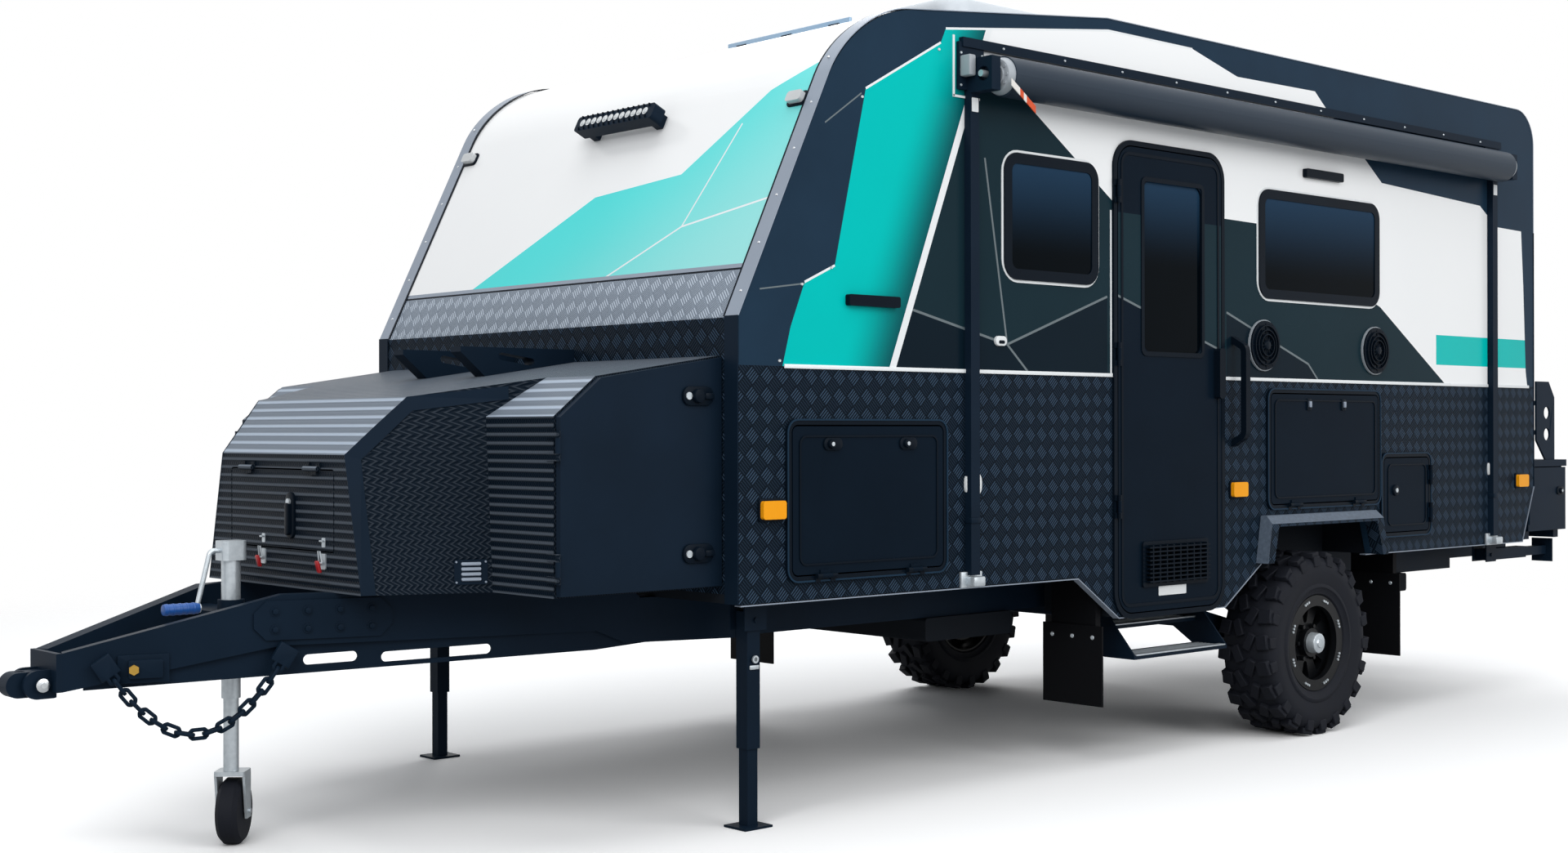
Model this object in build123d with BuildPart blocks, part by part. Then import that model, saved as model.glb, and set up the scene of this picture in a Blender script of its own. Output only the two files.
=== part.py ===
from build123d import *
from math import cos, radians, sin, tan
import os

os.makedirs("parts", exist_ok=True)

# Off-road touring caravan. Millimetres; x forward, y to the door side, z up.
# Every place is measured from the ground point under the middle of the axle.

# Body shell
body_width = 2214
wall_thick = 30
skirt_z = 758
front_x = 3276
knee_z = 1687
slope_top_x = 2760
slope_top_z = 2749
roof_break_x = 1400
roof_z = 2900
rear_x = -1990
kick_z = 1030
kick_x = -1870
front_crown_radius = 540
rear_crown_radius = 170
roof_joint_x = 2300
roof_joint_z = 2720

# Door dip and wheel arch in the skirt
dip_z = 593
dip_front_x = 1578
dip_front_low_x = 1332
dip_rear_low_x = 634
dip_rear_x = 375
dip_radius = 90
arch_front_x = 335
arch_rear_x = -430
arch_z = 910
arch_front_rake = 35
arch_rear_rake = 50
arch_flare = 62
arch_lip = 45

# Openings, each x low, x high, z low, z high
bed_window = (1463, 2002, 1868, 2334)
dinette_window = (-541, 396, 1869, 2331)
window_radius = 70
window_border = 40
window_lap = 20
pane_thick = 6
door_x = (672, 1345)
door_z = (606, 2420)
door_glass_x = (805, 1188)
door_glass_z = (1622, 2295)
boot_hatch = (2334, 3050, 841, 1331)
table_hatch = (-522, 315, 1002, 1468)
service_hatch_at = (-962, -577, 851, 1186)
hatch_radius = 22
door_radius = 85
leaf_clear = 5
frame_border = 25
frame_lap = 15
frame_proud = 10
leaf_thick = 34

# Hinges: pin on the frame, knuckle on the leaf
pin_radius = 5
pin_clear = 0.05
knuckle_radius = 8.5
knuckle_length = 46
ear_length = 22
ear_gap = 0.3
hinge_seat = 10
hinge_reach = 6
strap_length = 20
strap_thick = 5

# Wheels and running gear
tyre_radius = 395
tyre_width = 266
wheel_y = 1023
rim_radius = 206
rim_wall = 9
rim_width = 214
rim_face_y = 1075
hub_radius = 62
hub_inner_y = 936
drum_radius = 150
drum_width = 62
stub_radius = 26
stub_clear = 0.06
arm_pivot_x = 470
arm_pivot_z = 520
arm_y = 800
arm_width = 70
arm_depth = 90
spring_radius = 52
spring_x = 60
spring_wire = 9
damper_x = -150

# Chassis
rail_y = 700
rail_width = 50
rail_depth = 150
rail_front_x = 2950
rail_rear_x = -1860
cross_width = 50
drawbar_angle = 18
drawbar_width = 50
nose_x = 5063
nose_y = 100
nose_low_z = 542
nose_high_z = 658
bar_low_z = 652
bar_high_z = 810
bar_rise_length = 640
bar_step_x = 3380
doubler_length = 430
doubler_depth = 122
doubler_past = 130
doubler_thick = 8
bar_end_rise = 100
brace_width = 12
brace_start = 60
brace_rear_z = 588
brace_lap = 10
brace_slot_z = 604
brace_slot_width = 33
brace_slot_short = 170
brace_slot_long = 360
brace_slot_front = 155
brace_slot_rear = 495
brace_slope = 1.6

# Coupling and jockey wheel
coupling_tip_x = 5204
coupling_z = 565
coupling_bore_radius = 15
jockey_stand = 200
jockey_y = 50
jockey_tube_radius = 30
jockey_slide_clear = 0.3
jockey_leg_radius = 24
jockey_head_z = 970
jockey_tube_low_z = 470
jockey_wheel_radius = 105
jockey_wheel_width = 70
jockey_shoulder = 14
jockey_trail = 30
jockey_swing = 48
jockey_pin_radius = 8
jockey_plate_z = 747

# Stabiliser legs
leg_front_x = 3100
leg_rear_x = -1790
leg_y = 949
leg_pivot_z = 690
leg_size = 56
leg_pin_radius = 9
leg_foot_length = 120

# Front toolbox
box_wide_depth = 649
box_nose_depth = 375
box_front_low_half = 513
box_front_high_z = 1243
cheek_lean = 0.233
cheek_flare = 0.432
box_slope_run = 175
box_slope_z = 1425
box_wide_half = 1003
box_door_thick = 22
box_chamfer_low_z = 1362
box_chamfer_run = 157
box_chamfer_z = 1486
box_rear_z = 1560
box_sheet = 10
front_door_half = 345
front_door_low_z = 938
front_door_high_z = 1192

# Awning
roller_radius = 72
roller_z = 2580
roller_stand = 91
awning_front_x = 2110
awning_rear_x = -1510
arm_front_x = 2185
arm_rear_x = -1555
arm_low_z = 800
awning_rail_z = 2700

# Rear rack
rear_gap = 35
rear_box_length = 415
rear_box_low_z = 800
rear_box_high_z = 1160
rear_box_outer_y = 1060
rear_box_inner_y = 560
rear_box_sheet = 10
lid_height = 34
lid_lip = 12
spare_stand = 240
spare_z = 1205
spare_y = -80
stay_top_z = 1560

half = body_width / 2
inner = half - wall_thick
face_y = half + frame_proud
floor_top_z = skirt_z + wall_thick
rail_top_z = skirt_z
rail_low_z = rail_top_z - rail_depth
box_low_z = bar_high_z
box_wide_x = front_x + box_wide_depth
box_chamfer_x = box_wide_x - box_chamfer_run
box_front_x = box_wide_x + box_nose_depth
box_slope_x = box_front_x - box_slope_run
jockey_x = box_front_x + jockey_stand
roller_y = half + roller_stand
rear_box_front_x = rear_x - rear_gap
rear_box_x = rear_box_front_x - rear_box_length
spare_x = rear_x - spare_stand

# The files stand at the middle of the footprint
left_reach = roller_y + roller_radius
right_reach = half + arch_flare
to_middle = Location(
    (-(coupling_tip_x + rear_box_x) / 2, -(left_reach - right_reach) / 2, 0)
)


def save(piece, name):
    placed = piece.part.moved(to_middle)
    placed.label = name
    export_step(placed, f"parts/{name}.step")


def cabin_outline(y, inset):
    with BuildSketch(Plane.XZ.offset(-y)) as outline:
        with BuildLine():
            Polyline(
                (front_x, skirt_z),
                (front_x, knee_z),
                (slope_top_x, slope_top_z),
                (roof_break_x, roof_z),
                (rear_x, roof_z),
                (rear_x, kick_z),
                (kick_x, skirt_z),
                close=True,
            )
        make_face()
        crown = outline.vertices().sort_by_distance((slope_top_x, slope_top_z, 0))[0]
        fillet(crown, front_crown_radius)
        corner = outline.vertices().sort_by_distance((rear_x, roof_z, 0))[0]
        fillet(corner, rear_crown_radius)
        if inset:
            offset(amount=-inset, mode=Mode.REPLACE)
    return outline.sketch


def panel(y, span, grow, radius):
    with BuildSketch(Plane.XZ.offset(-y)) as face:
        with Locations(((span[0] + span[1]) / 2, (span[2] + span[3]) / 2)):
            RectangleRounded(
                span[1] - span[0] + 2 * grow, span[3] - span[2] + 2 * grow, radius
            )
    return face.sketch


def hinge_place(at, toward, outward):
    return Plane(origin=at, x_dir=toward, z_dir=Vector(*toward).cross(Vector(*outward)))


def hinge_ears(place):
    ear_at = knuckle_length / 2 + ear_gap + ear_length / 2
    with BuildPart(place) as ears:
        Cylinder(pin_radius, knuckle_length + 2 * ear_length)
        with Locations((0, 0, -ear_at), (0, 0, ear_at)):
            Cylinder(knuckle_radius, ear_length)
        with Locations((0, -hinge_seat, -ear_at), (0, -hinge_seat, ear_at)):
            Box(
                strap_length,
                strap_thick,
                ear_length,
                align=(Align.MAX, Align.MIN, Align.CENTER),
            )
    return ears.part


def hinge_knuckle(place):
    with BuildPart(place) as knuckle:
        Cylinder(knuckle_radius, knuckle_length)
        with Locations((0, -hinge_seat, 0)):
            Box(
                strap_length,
                strap_thick,
                knuckle_length,
                align=(Align.MIN, Align.MIN, Align.CENTER),
            )
        Cylinder(pin_radius + pin_clear, 2 * knuckle_length, mode=Mode.SUBTRACT)
    return knuckle.part


def hatch_hinges(span):
    run = span[1] - span[0]
    return [
        hinge_place(
            (span[0] + run * share, face_y + hinge_seat, span[2] - hinge_reach),
            (0, 0, 1),
            (0, 1, 0),
        )
        for share in (0.2, 0.8)
    ]


door_hinges = [
    hinge_place(
        (door_x[1] + hinge_reach, face_y + hinge_seat, z), (-1, 0, 0), (0, 1, 0)
    )
    for z in (1020, 1610, 2240)
]
service_hinges = [
    hinge_place(
        (service_hatch_at[0] - hinge_reach, face_y + hinge_seat, z),
        (1, 0, 0),
        (0, 1, 0),
    )
    for z in (service_hatch_at[2] + 80, service_hatch_at[3] - 80)
]
door_span = (door_x[0], door_x[1], door_z[0], door_z[1])
door_glass_span = (
    door_glass_x[0],
    door_glass_x[1],
    door_glass_z[0],
    door_glass_z[1],
)

# Cabin ring between the side walls, cut into front, roof, rear and floor
with BuildPart() as shell_ring:
    extrude(cabin_outline(inner, 0), amount=2 * inner)
    extrude(cabin_outline(inner, wall_thick), amount=2 * inner, mode=Mode.SUBTRACT)

with BuildPart() as wall_front:
    add(shell_ring.part)
    split(bisect_by=Plane.YZ.offset(roof_joint_x), keep=Keep.TOP)
    split(bisect_by=Plane.XY.offset(floor_top_z), keep=Keep.TOP)
save(wall_front, "wall_front")

with BuildPart() as roof:
    add(shell_ring.part)
    split(bisect_by=Plane.YZ.offset(roof_joint_x), keep=Keep.BOTTOM)
    split(bisect_by=Plane.XY.offset(roof_joint_z), keep=Keep.TOP)
save(roof, "roof")

with BuildPart() as wall_rear:
    add(shell_ring.part)
    split(bisect_by=Plane.YZ.offset(roof_break_x), keep=Keep.BOTTOM)
    split(bisect_by=Plane.XY.offset(roof_joint_z), keep=Keep.BOTTOM)
    split(bisect_by=Plane.XY.offset(floor_top_z), keep=Keep.TOP)
save(wall_rear, "wall_rear")

# Floor with two wheel boxes and the entry well
well_sheet = 12
wheel_box_inner_y = 850
wheel_box_x = (arch_rear_x - 60, arch_front_x + 75)
wheel_box_top_z = arch_z + 40
well_x = (door_x[0] - 5, door_x[1] + 5)
well_inner_y = 770
wheel_box_middle = (wheel_box_x[0] + wheel_box_x[1]) / 2
wheel_box_run = wheel_box_x[1] - wheel_box_x[0]
well_middle = (well_x[0] + well_x[1]) / 2
well_run = well_x[1] - well_x[0]
with BuildPart() as floor:
    add(shell_ring.part)
    split(bisect_by=Plane.XY.offset(floor_top_z), keep=Keep.BOTTOM)
    with Locations((wheel_box_middle, inner, skirt_z), (wheel_box_middle, -inner, skirt_z)):
        Box(
            wheel_box_run + 2 * well_sheet,
            2 * (inner - wheel_box_inner_y + well_sheet),
            wheel_box_top_z + well_sheet - skirt_z,
            align=(Align.CENTER, Align.CENTER, Align.MIN),
        )
        Box(
            wheel_box_run,
            2 * (inner - wheel_box_inner_y),
            wheel_box_top_z - skirt_z,
            align=(Align.CENTER, Align.CENTER, Align.MIN),
            mode=Mode.SUBTRACT,
        )
    with Locations((well_middle, inner, floor_top_z)):
        Box(
            well_run + 2 * well_sheet,
            2 * (inner - well_inner_y + well_sheet),
            floor_top_z - dip_z,
            align=(Align.CENTER, Align.CENTER, Align.MAX),
        )
        Box(
            well_run,
            2 * (inner - well_inner_y),
            floor_top_z - dip_z - well_sheet,
            align=(Align.CENTER, Align.CENTER, Align.MAX),
            mode=Mode.SUBTRACT,
        )
    split(bisect_by=Plane.XZ.offset(-inner), keep=Keep.TOP)
    split(bisect_by=Plane.XZ.offset(inner), keep=Keep.BOTTOM)
save(floor, "floor")


def arch_face(y, grow):
    with BuildSketch(Plane.XZ.offset(-y)) as face:
        with BuildLine():
            Polyline(
                (arch_rear_x - arch_rear_rake - grow, skirt_z),
                (arch_rear_x - grow, arch_z + grow),
                (arch_front_x + grow, arch_z + grow),
                (arch_front_x + arch_front_rake + grow, skirt_z),
                close=True,
            )
        make_face()
    return face.sketch


with BuildPart() as wall_left:
    extrude(cabin_outline(half, 0), amount=wall_thick)
    with BuildSketch(Plane.XZ.offset(-half)) as dip:
        with BuildLine():
            Polyline(
                (dip_rear_x, skirt_z + wall_thick),
                (dip_rear_x, skirt_z),
                (dip_rear_low_x, dip_z),
                (dip_front_low_x, dip_z),
                (dip_front_x, skirt_z),
                (dip_front_x, skirt_z + wall_thick),
                close=True,
            )
        make_face()
        low_corners = dip.vertices().filter_by_position(Axis.Y, dip_z - 1, dip_z + 1)
        fillet(low_corners, dip_radius)
    extrude(amount=wall_thick)
    extrude(arch_face(half, 0), amount=wall_thick, mode=Mode.SUBTRACT)
    for opening in (bed_window, dinette_window):
        cut_radius = window_radius - window_lap
        extrude(
            panel(half, opening, -window_lap, cut_radius),
            amount=wall_thick,
            mode=Mode.SUBTRACT,
        )
    extrude(
        panel(half, door_span, frame_lap, door_radius + frame_lap),
        amount=wall_thick,
        mode=Mode.SUBTRACT,
    )
    for opening in (boot_hatch, table_hatch, service_hatch_at):
        extrude(
            panel(half, opening, frame_lap, hatch_radius + frame_lap),
            amount=wall_thick,
            mode=Mode.SUBTRACT,
        )
save(wall_left, "wall_left")

with BuildPart() as wall_right:
    extrude(cabin_outline(-half, 0), amount=-wall_thick)
    extrude(arch_face(-half, 0), amount=-wall_thick, mode=Mode.SUBTRACT)
    for opening in (bed_window, dinette_window):
        extrude(
            panel(-half, opening, -window_lap, window_radius - window_lap),
            amount=-wall_thick,
            mode=Mode.SUBTRACT,
        )
    extrude(
        panel(-half, boot_hatch, frame_lap, hatch_radius + frame_lap),
        amount=-wall_thick,
        mode=Mode.SUBTRACT,
    )
save(wall_right, "wall_right")

# Angular flares round the wheel arches
with BuildPart() as arch_flares:
    extrude(arch_face(half + arch_flare, arch_lip), amount=arch_flare)
    extrude(arch_face(half + arch_flare, 0), amount=arch_flare, mode=Mode.SUBTRACT)
    outer_edges = arch_flares.edges().filter_by(GeomType.LINE).filter_by_position(
        Axis.Y, half + arch_flare - 1, half + arch_flare + 1
    )
    rim_edges = outer_edges.filter_by(
        lambda edge: edge.center().Z > arch_z + 1
    )
    chamfer(rim_edges, arch_lip - 12)
    mirror(about=Plane.XZ)
save(arch_flares, "arch_flares")

# Frames of windows, door and hatches
with BuildPart() as wall_frames:
    for opening in (bed_window, dinette_window):
        extrude(panel(face_y, opening, 0, window_radius), amount=frame_proud)
        extrude(
            panel(half, opening, -window_lap, window_radius - window_lap),
            amount=wall_thick,
        )
        extrude(
            panel(face_y, opening, -window_border, window_radius - window_border),
            amount=frame_proud + wall_thick,
            mode=Mode.SUBTRACT,
        )
    extrude(panel(face_y, boot_hatch, frame_border, hatch_radius + frame_border), amount=frame_proud)
    extrude(panel(half, boot_hatch, frame_lap, hatch_radius + frame_lap), amount=wall_thick)
    extrude(
        panel(face_y, boot_hatch, leaf_clear, hatch_radius + leaf_clear),
        amount=frame_proud + wall_thick,
        mode=Mode.SUBTRACT,
    )
    for place in hatch_hinges(boot_hatch):
        add(hinge_ears(place))
    mirror(about=Plane.XZ)
    for opening, radius in (
        (door_span, door_radius),
        (table_hatch, hatch_radius),
        (service_hatch_at, hatch_radius),
    ):
        extrude(panel(face_y, opening, frame_border, radius + frame_border), amount=frame_proud)
        extrude(panel(half, opening, frame_lap, radius + frame_lap), amount=wall_thick)
        extrude(
            panel(face_y, opening, leaf_clear, radius + leaf_clear),
            amount=frame_proud + wall_thick,
            mode=Mode.SUBTRACT,
        )
    for place in door_hinges + service_hinges + hatch_hinges(table_hatch):
        add(hinge_ears(place))
save(wall_frames, "wall_frames")

with BuildPart() as window_panes:
    for opening in (bed_window, dinette_window):
        extrude(
            panel(half + pane_thick, opening, -window_border, window_radius - window_border),
            amount=pane_thick,
        )
    mirror(about=Plane.XZ)
save(window_panes, "window_panes")

# Entry door, its glass and fittings
with BuildPart() as entry_door:
    extrude(panel(face_y, door_span, 0, door_radius), amount=leaf_thick)
    extrude(
        panel(face_y, door_glass_span, 0, 45),
        amount=leaf_thick,
        mode=Mode.SUBTRACT,
    )
    for place in door_hinges:
        add(hinge_knuckle(place))
save(entry_door, "entry_door")

with BuildPart() as door_glass:
    extrude(panel(face_y - 8, door_glass_span, 0, 45), amount=pane_thick)
save(door_glass, "door_glass")

vent_span = (774, 1203, 700, 879)
handle_span = (682, 722, 1444, 1648)
with BuildPart() as door_fittings:
    extrude(panel(face_y + 9, vent_span, 0, 12), amount=9)
    with BuildSketch(Plane.XZ.offset(-face_y - 9)):
        with Locations(((vent_span[0] + vent_span[1]) / 2, (vent_span[2] + vent_span[3]) / 2)):
            with GridLocations(0, 26, 1, 6):
                SlotOverall(vent_span[1] - vent_span[0] - 50, 10)
    extrude(amount=5, mode=Mode.SUBTRACT)
    extrude(panel(face_y + 30, handle_span, 0, 12), amount=30)
save(door_fittings, "door_fittings")


def hatch_leaf(span, places):
    with BuildPart() as leaf:
        extrude(panel(face_y, span, 0, hatch_radius), amount=leaf_thick)
        for place in places:
            add(hinge_knuckle(place))
    return leaf


boot_hatch_left = hatch_leaf(boot_hatch, hatch_hinges(boot_hatch))
save(boot_hatch_left, "boot_hatch_left")

with BuildPart() as boot_hatch_right:
    mirror(boot_hatch_left.part, about=Plane.XZ)
save(boot_hatch_right, "boot_hatch_right")

picnic_table = hatch_leaf(table_hatch, hatch_hinges(table_hatch))
save(picnic_table, "picnic_table")

service_hatch = hatch_leaf(service_hatch_at, service_hinges)
save(service_hatch, "service_hatch")

# Speakers, strip lights and the grab handle beside the door
speaker_radius = 100
grab_x = 573
grab_z = (1260, 1689)
with BuildPart() as wall_fittings:
    with BuildSketch(Plane.XZ.offset(-half)):
        with Locations((dinette_window[1] - 34, 1671), (dinette_window[0] + 35, 1671)):
            Circle(speaker_radius)
    extrude(amount=-16)
    extrude(panel(half + 22, (-228, 61, 2404, 2442), 0, 8), amount=22)
    extrude(panel(half + 22, (2556, 2800, 1738, 1776), 0, 8), amount=22)
    with BuildSketch(Plane.YZ.offset(grab_x)):
        with BuildLine() as grab_path:
            FilletPolyline(
                (half, grab_z[0]),
                (half + 60, grab_z[0] + 35),
                (half + 60, grab_z[1] - 35),
                (half, grab_z[1]),
                radius=30,
            )
            offset(amount=13, side=Side.BOTH)
        make_face()
    extrude(amount=15, both=True)
    split(bisect_by=Plane.XZ.offset(-half), keep=Keep.BOTTOM)
save(wall_fittings, "wall_fittings")

# Lamps
with BuildPart() as lamps_amber:
    for x, z in ((3140, 1059), (552, 1070), (-1850, 1062)):
        extrude(panel(half + 24, (x - 50, x + 50, z - 30, z + 30), 0, 10), amount=24)
    mirror(about=Plane.XZ)
save(lamps_amber, "lamps_amber")

with BuildPart() as lamps_red:
    with Locations((rear_x, half - 180, 1430)):
        Box(40, 120, 320, align=(Align.MAX, Align.CENTER, Align.CENTER))
        fillet(lamps_red.edges().filter_by(Axis.X), 18)
    mirror(about=Plane.XZ)
save(lamps_red, "lamps_red")

# Raked front panel: a plane that lies on the slope for what is fixed there
slope_plane = Plane(
    origin=(
        (front_x + slope_top_x) / 2,
        0,
        (knee_z + slope_top_z) / 2,
    ),
    x_dir=(0, 1, 0),
    z_dir=(slope_top_z - knee_z, 0, front_x - slope_top_x),
)
with BuildPart() as light_bar:
    with BuildSketch(slope_plane.offset(34)):
        with Locations((70, 245)):
            RectangleRounded(470, 64, 14)
    extrude(amount=52)
    with BuildSketch(slope_plane):
        with Locations((70 - 190, 245), (70 + 190, 245)):
            Rectangle(36, 50)
    extrude(amount=34)
save(light_bar, "light_bar")

with BuildPart() as lamps_clear:
    with BuildSketch(slope_plane):
        with Locations((half - 110, 240), (-half + 110, 240)):
            RectangleRounded(74, 40, 12)
    extrude(amount=26)
save(lamps_clear, "lamps_clear")

# Roof units
cooler_x = 1050
cooler_length = 700
cooler_width = 620
cooler_height = 250
cooler_draft = 6
cooler_corner = 130
cooler_crown = 70
with BuildPart() as air_conditioner:
    with BuildSketch(Plane.XY.offset(roof_z)):
        with Locations((cooler_x, 0)):
            RectangleRounded(cooler_length, cooler_width, cooler_corner)
    extrude(amount=cooler_height, taper=cooler_draft)
    top = air_conditioner.faces().sort_by(Axis.Z)[-1]
    fillet(top.edges(), cooler_crown)
save(air_conditioner, "air_conditioner")

solar_x = 1745
solar_length = 520
solar_width = 740
solar_stand = 45
roof_fall = (roof_z - slope_top_z) / (slope_top_x - roof_break_x)
fall_plane = Plane(
    origin=(solar_x, 0, roof_z - roof_fall * (solar_x - roof_break_x)),
    x_dir=(1, 0, -roof_fall),
    z_dir=(roof_fall, 0, 1),
)
with BuildPart() as solar_panel:
    with BuildSketch(fall_plane.offset(solar_stand)):
        with Locations((0, -60)):
            Rectangle(solar_length, solar_width)
    extrude(amount=35)
    with BuildSketch(fall_plane):
        with Locations((0, -60)):
            with GridLocations(solar_length - 90, solar_width - 60, 2, 2):
                Rectangle(70, 44)
    extrude(amount=solar_stand)
save(solar_panel, "solar_panel")

# Awning on the door side
with BuildPart() as awning_roller:
    with BuildSketch(Plane.YZ.offset(awning_rear_x)):
        with Locations((roller_y, roller_z)):
            Circle(roller_radius)
    extrude(amount=awning_front_x - awning_rear_x)
    with BuildSketch(Plane.YZ.offset(arm_rear_x)):
        with Locations((roller_y, roller_z)):
            Circle(26)
    extrude(amount=arm_front_x - arm_rear_x)
save(awning_roller, "awning_roller")

arm_wide = 46
arm_proud = 30
with BuildPart() as awning_frame:
    with Locations((arm_front_x, half, roller_z), (arm_rear_x, half, roller_z)):
        Box(arm_wide, arm_proud, roller_z - arm_low_z, align=(Align.CENTER, Align.MIN, Align.MAX))
        Box(arm_wide, roller_y + 40 - half, 120, align=(Align.CENTER, Align.MIN, Align.CENTER))
    with Locations(((awning_front_x + awning_rear_x) / 2, half, awning_rail_z)):
        Box(
            awning_front_x - awning_rear_x + 250,
            20,
            34,
            align=(Align.CENTER, Align.MIN, Align.CENTER),
        )
    with Locations((arm_front_x, half, awning_rail_z), (arm_rear_x, half, awning_rail_z)):
        Box(130, 14, 170, align=(Align.CENTER, Align.MIN, Align.MAX))
    with BuildSketch(Plane.YZ.offset(arm_rear_x - arm_wide)):
        with Locations((roller_y, roller_z)):
            Circle(26)
    extrude(amount=arm_front_x - arm_rear_x + 2 * arm_wide, mode=Mode.SUBTRACT)
save(awning_frame, "awning_frame")

# Chassis: two rails, cross members and the drawbar
with BuildPart() as chassis_rails:
    with Locations((rail_front_x, rail_y, rail_top_z), (rail_front_x, -rail_y, rail_top_z)):
        Box(
            rail_front_x - rail_rear_x,
            rail_width,
            rail_depth,
            align=(Align.MAX, Align.CENTER, Align.MAX),
        )
save(chassis_rails, "chassis_rails")

cross_between = 2 * rail_y - rail_width
with BuildPart() as cross_members:
    with Locations((rail_front_x, 0, rail_top_z)):
        Box(cross_width, 2 * rail_y + 150, rail_depth, align=(Align.MIN, Align.CENTER, Align.MAX))
    with Locations(
        (2080, 0, rail_top_z),
        (1250, 0, rail_top_z),
        (-700, 0, rail_top_z),
        (rail_rear_x + cross_width, 0, rail_top_z),
    ):
        Box(cross_width, cross_between, 100, align=(Align.MAX, Align.CENTER, Align.MAX))
save(cross_members, "cross_members")


def bar_outer_y(x):
    return nose_y + (nose_x - x) * tan(radians(drawbar_angle))


def bar_inner_y(x):
    return bar_outer_y(x) - drawbar_width / cos(radians(drawbar_angle))


bar_end_x = rail_front_x + cross_width
bar_run = (nose_x - bar_end_x) / cos(radians(drawbar_angle)) + drawbar_width
bar_step = (nose_x - bar_step_x) / cos(radians(drawbar_angle))
bar_plane = Plane(
    origin=(nose_x, nose_y, 0),
    x_dir=(-cos(radians(drawbar_angle)), sin(radians(drawbar_angle)), 0),
    z_dir=(sin(radians(drawbar_angle)), cos(radians(drawbar_angle)), 0),
)
with BuildPart() as drawbar_rails:
    with BuildSketch(bar_plane):
        with BuildLine():
            Polyline(
                (0, nose_low_z),
                (0, nose_high_z),
                (bar_rise_length, bar_high_z),
                (bar_step, bar_high_z),
                (bar_step + bar_high_z - rail_top_z, rail_top_z),
                (bar_run, rail_top_z),
                (bar_run, rail_low_z),
                (bar_step, rail_low_z),
                (bar_step - bar_end_rise, bar_low_z),
                (bar_rise_length, bar_low_z),
                close=True,
            )
        make_face()
    extrude(amount=-drawbar_width)
    split(bisect_by=Plane.YZ.offset(bar_end_x), keep=Keep.TOP)
    with BuildSketch(bar_plane) as doubler:
        with Locations((bar_rise_length + doubler_past, (bar_low_z + bar_high_z) / 2)):
            Rectangle(doubler_length, doubler_depth)
        chamfer(doubler.vertices(), 38)
    extrude(amount=doubler_thick)
    with BuildSketch(bar_plane.offset(-(drawbar_width - brace_width) / 2)):
        with BuildLine():
            Polyline(
                (brace_start, nose_low_z),
                (bar_step - bar_end_rise, brace_rear_z),
                (bar_step + bar_end_rise, rail_low_z),
                (bar_step + bar_end_rise, bar_low_z + brace_lap),
                (bar_rise_length, bar_low_z + brace_lap),
                (brace_start, nose_low_z + 6 * brace_lap),
                close=True,
            )
        make_face()
        with Locations((bar_rise_length + brace_slot_front, brace_slot_z)):
            SlotOverall(brace_slot_short, brace_slot_width, rotation=brace_slope, mode=Mode.SUBTRACT)
        with Locations((bar_rise_length + brace_slot_rear, brace_slot_z)):
            SlotOverall(brace_slot_long, brace_slot_width, rotation=brace_slope, mode=Mode.SUBTRACT)
    extrude(amount=-brace_width)
    mirror(about=Plane.XZ)
save(drawbar_rails, "drawbar_rails")

# Coupling: end plate, clevis cheeks, cross pin and the turning head
clevis_half = 58
clevis_plate = 14
head_width = 64
with BuildPart() as coupling:
    with Locations((nose_x, 0, (nose_low_z + nose_high_z) / 2)):
        Box(18, 2 * nose_y, nose_high_z - nose_low_z, align=(Align.MIN, Align.CENTER, Align.CENTER))
    with BuildSketch(Plane.XZ.offset(-clevis_half)):
        with Locations((nose_x + 34, coupling_z)):
            SlotOverall(130, 86)
    extrude(amount=clevis_plate)
    mirror(about=Plane.XZ)
    split(bisect_by=Plane.YZ.offset(nose_x), keep=Keep.TOP)
    with BuildSketch(Plane.XZ.offset(-head_width / 2)):
        with Locations((coupling_tip_x - 75, coupling_z)):
            SlotOverall(150, 76)
    extrude(amount=head_width)
    with BuildSketch(Plane.XZ.offset(-clevis_half - 12)):
        with Locations((nose_x + 48, coupling_z)):
            Circle(15)
    extrude(amount=2 * clevis_half + 24)
    with BuildSketch(Plane.XY.offset(coupling_z + 60)):
        with Locations((coupling_tip_x - 52, 0)):
            Circle(coupling_bore_radius)
    extrude(amount=-120, mode=Mode.SUBTRACT)
save(coupling, "coupling")

# Jockey wheel: clamp on a bridge plate, tube, crank, leg, fork and wheel
bridge_x = (jockey_x - 70, jockey_x + 60)
bridge_thick = 12
with BuildPart() as jockey_clamp:
    with BuildSketch(Plane.XY.offset(jockey_plate_z)):
        with BuildLine():
            Polyline(
                (bridge_x[0], bar_inner_y(bridge_x[0])),
                (bridge_x[1], bar_inner_y(bridge_x[1])),
                (bridge_x[1], -bar_inner_y(bridge_x[1])),
                (bridge_x[0], -bar_inner_y(bridge_x[0])),
                close=True,
            )
        make_face()
    extrude(amount=-bridge_thick)
    with BuildSketch(Plane.XY.offset(jockey_plate_z - 50)):
        with Locations((jockey_x, jockey_y)):
            Circle(jockey_tube_radius + 12)
    extrude(amount=86)
    with BuildSketch(Plane.XY.offset(jockey_plate_z - 60)):
        with Locations((jockey_x, jockey_y)):
            Circle(jockey_tube_radius)
    extrude(amount=120, mode=Mode.SUBTRACT)
save(jockey_clamp, "jockey_clamp")

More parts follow.
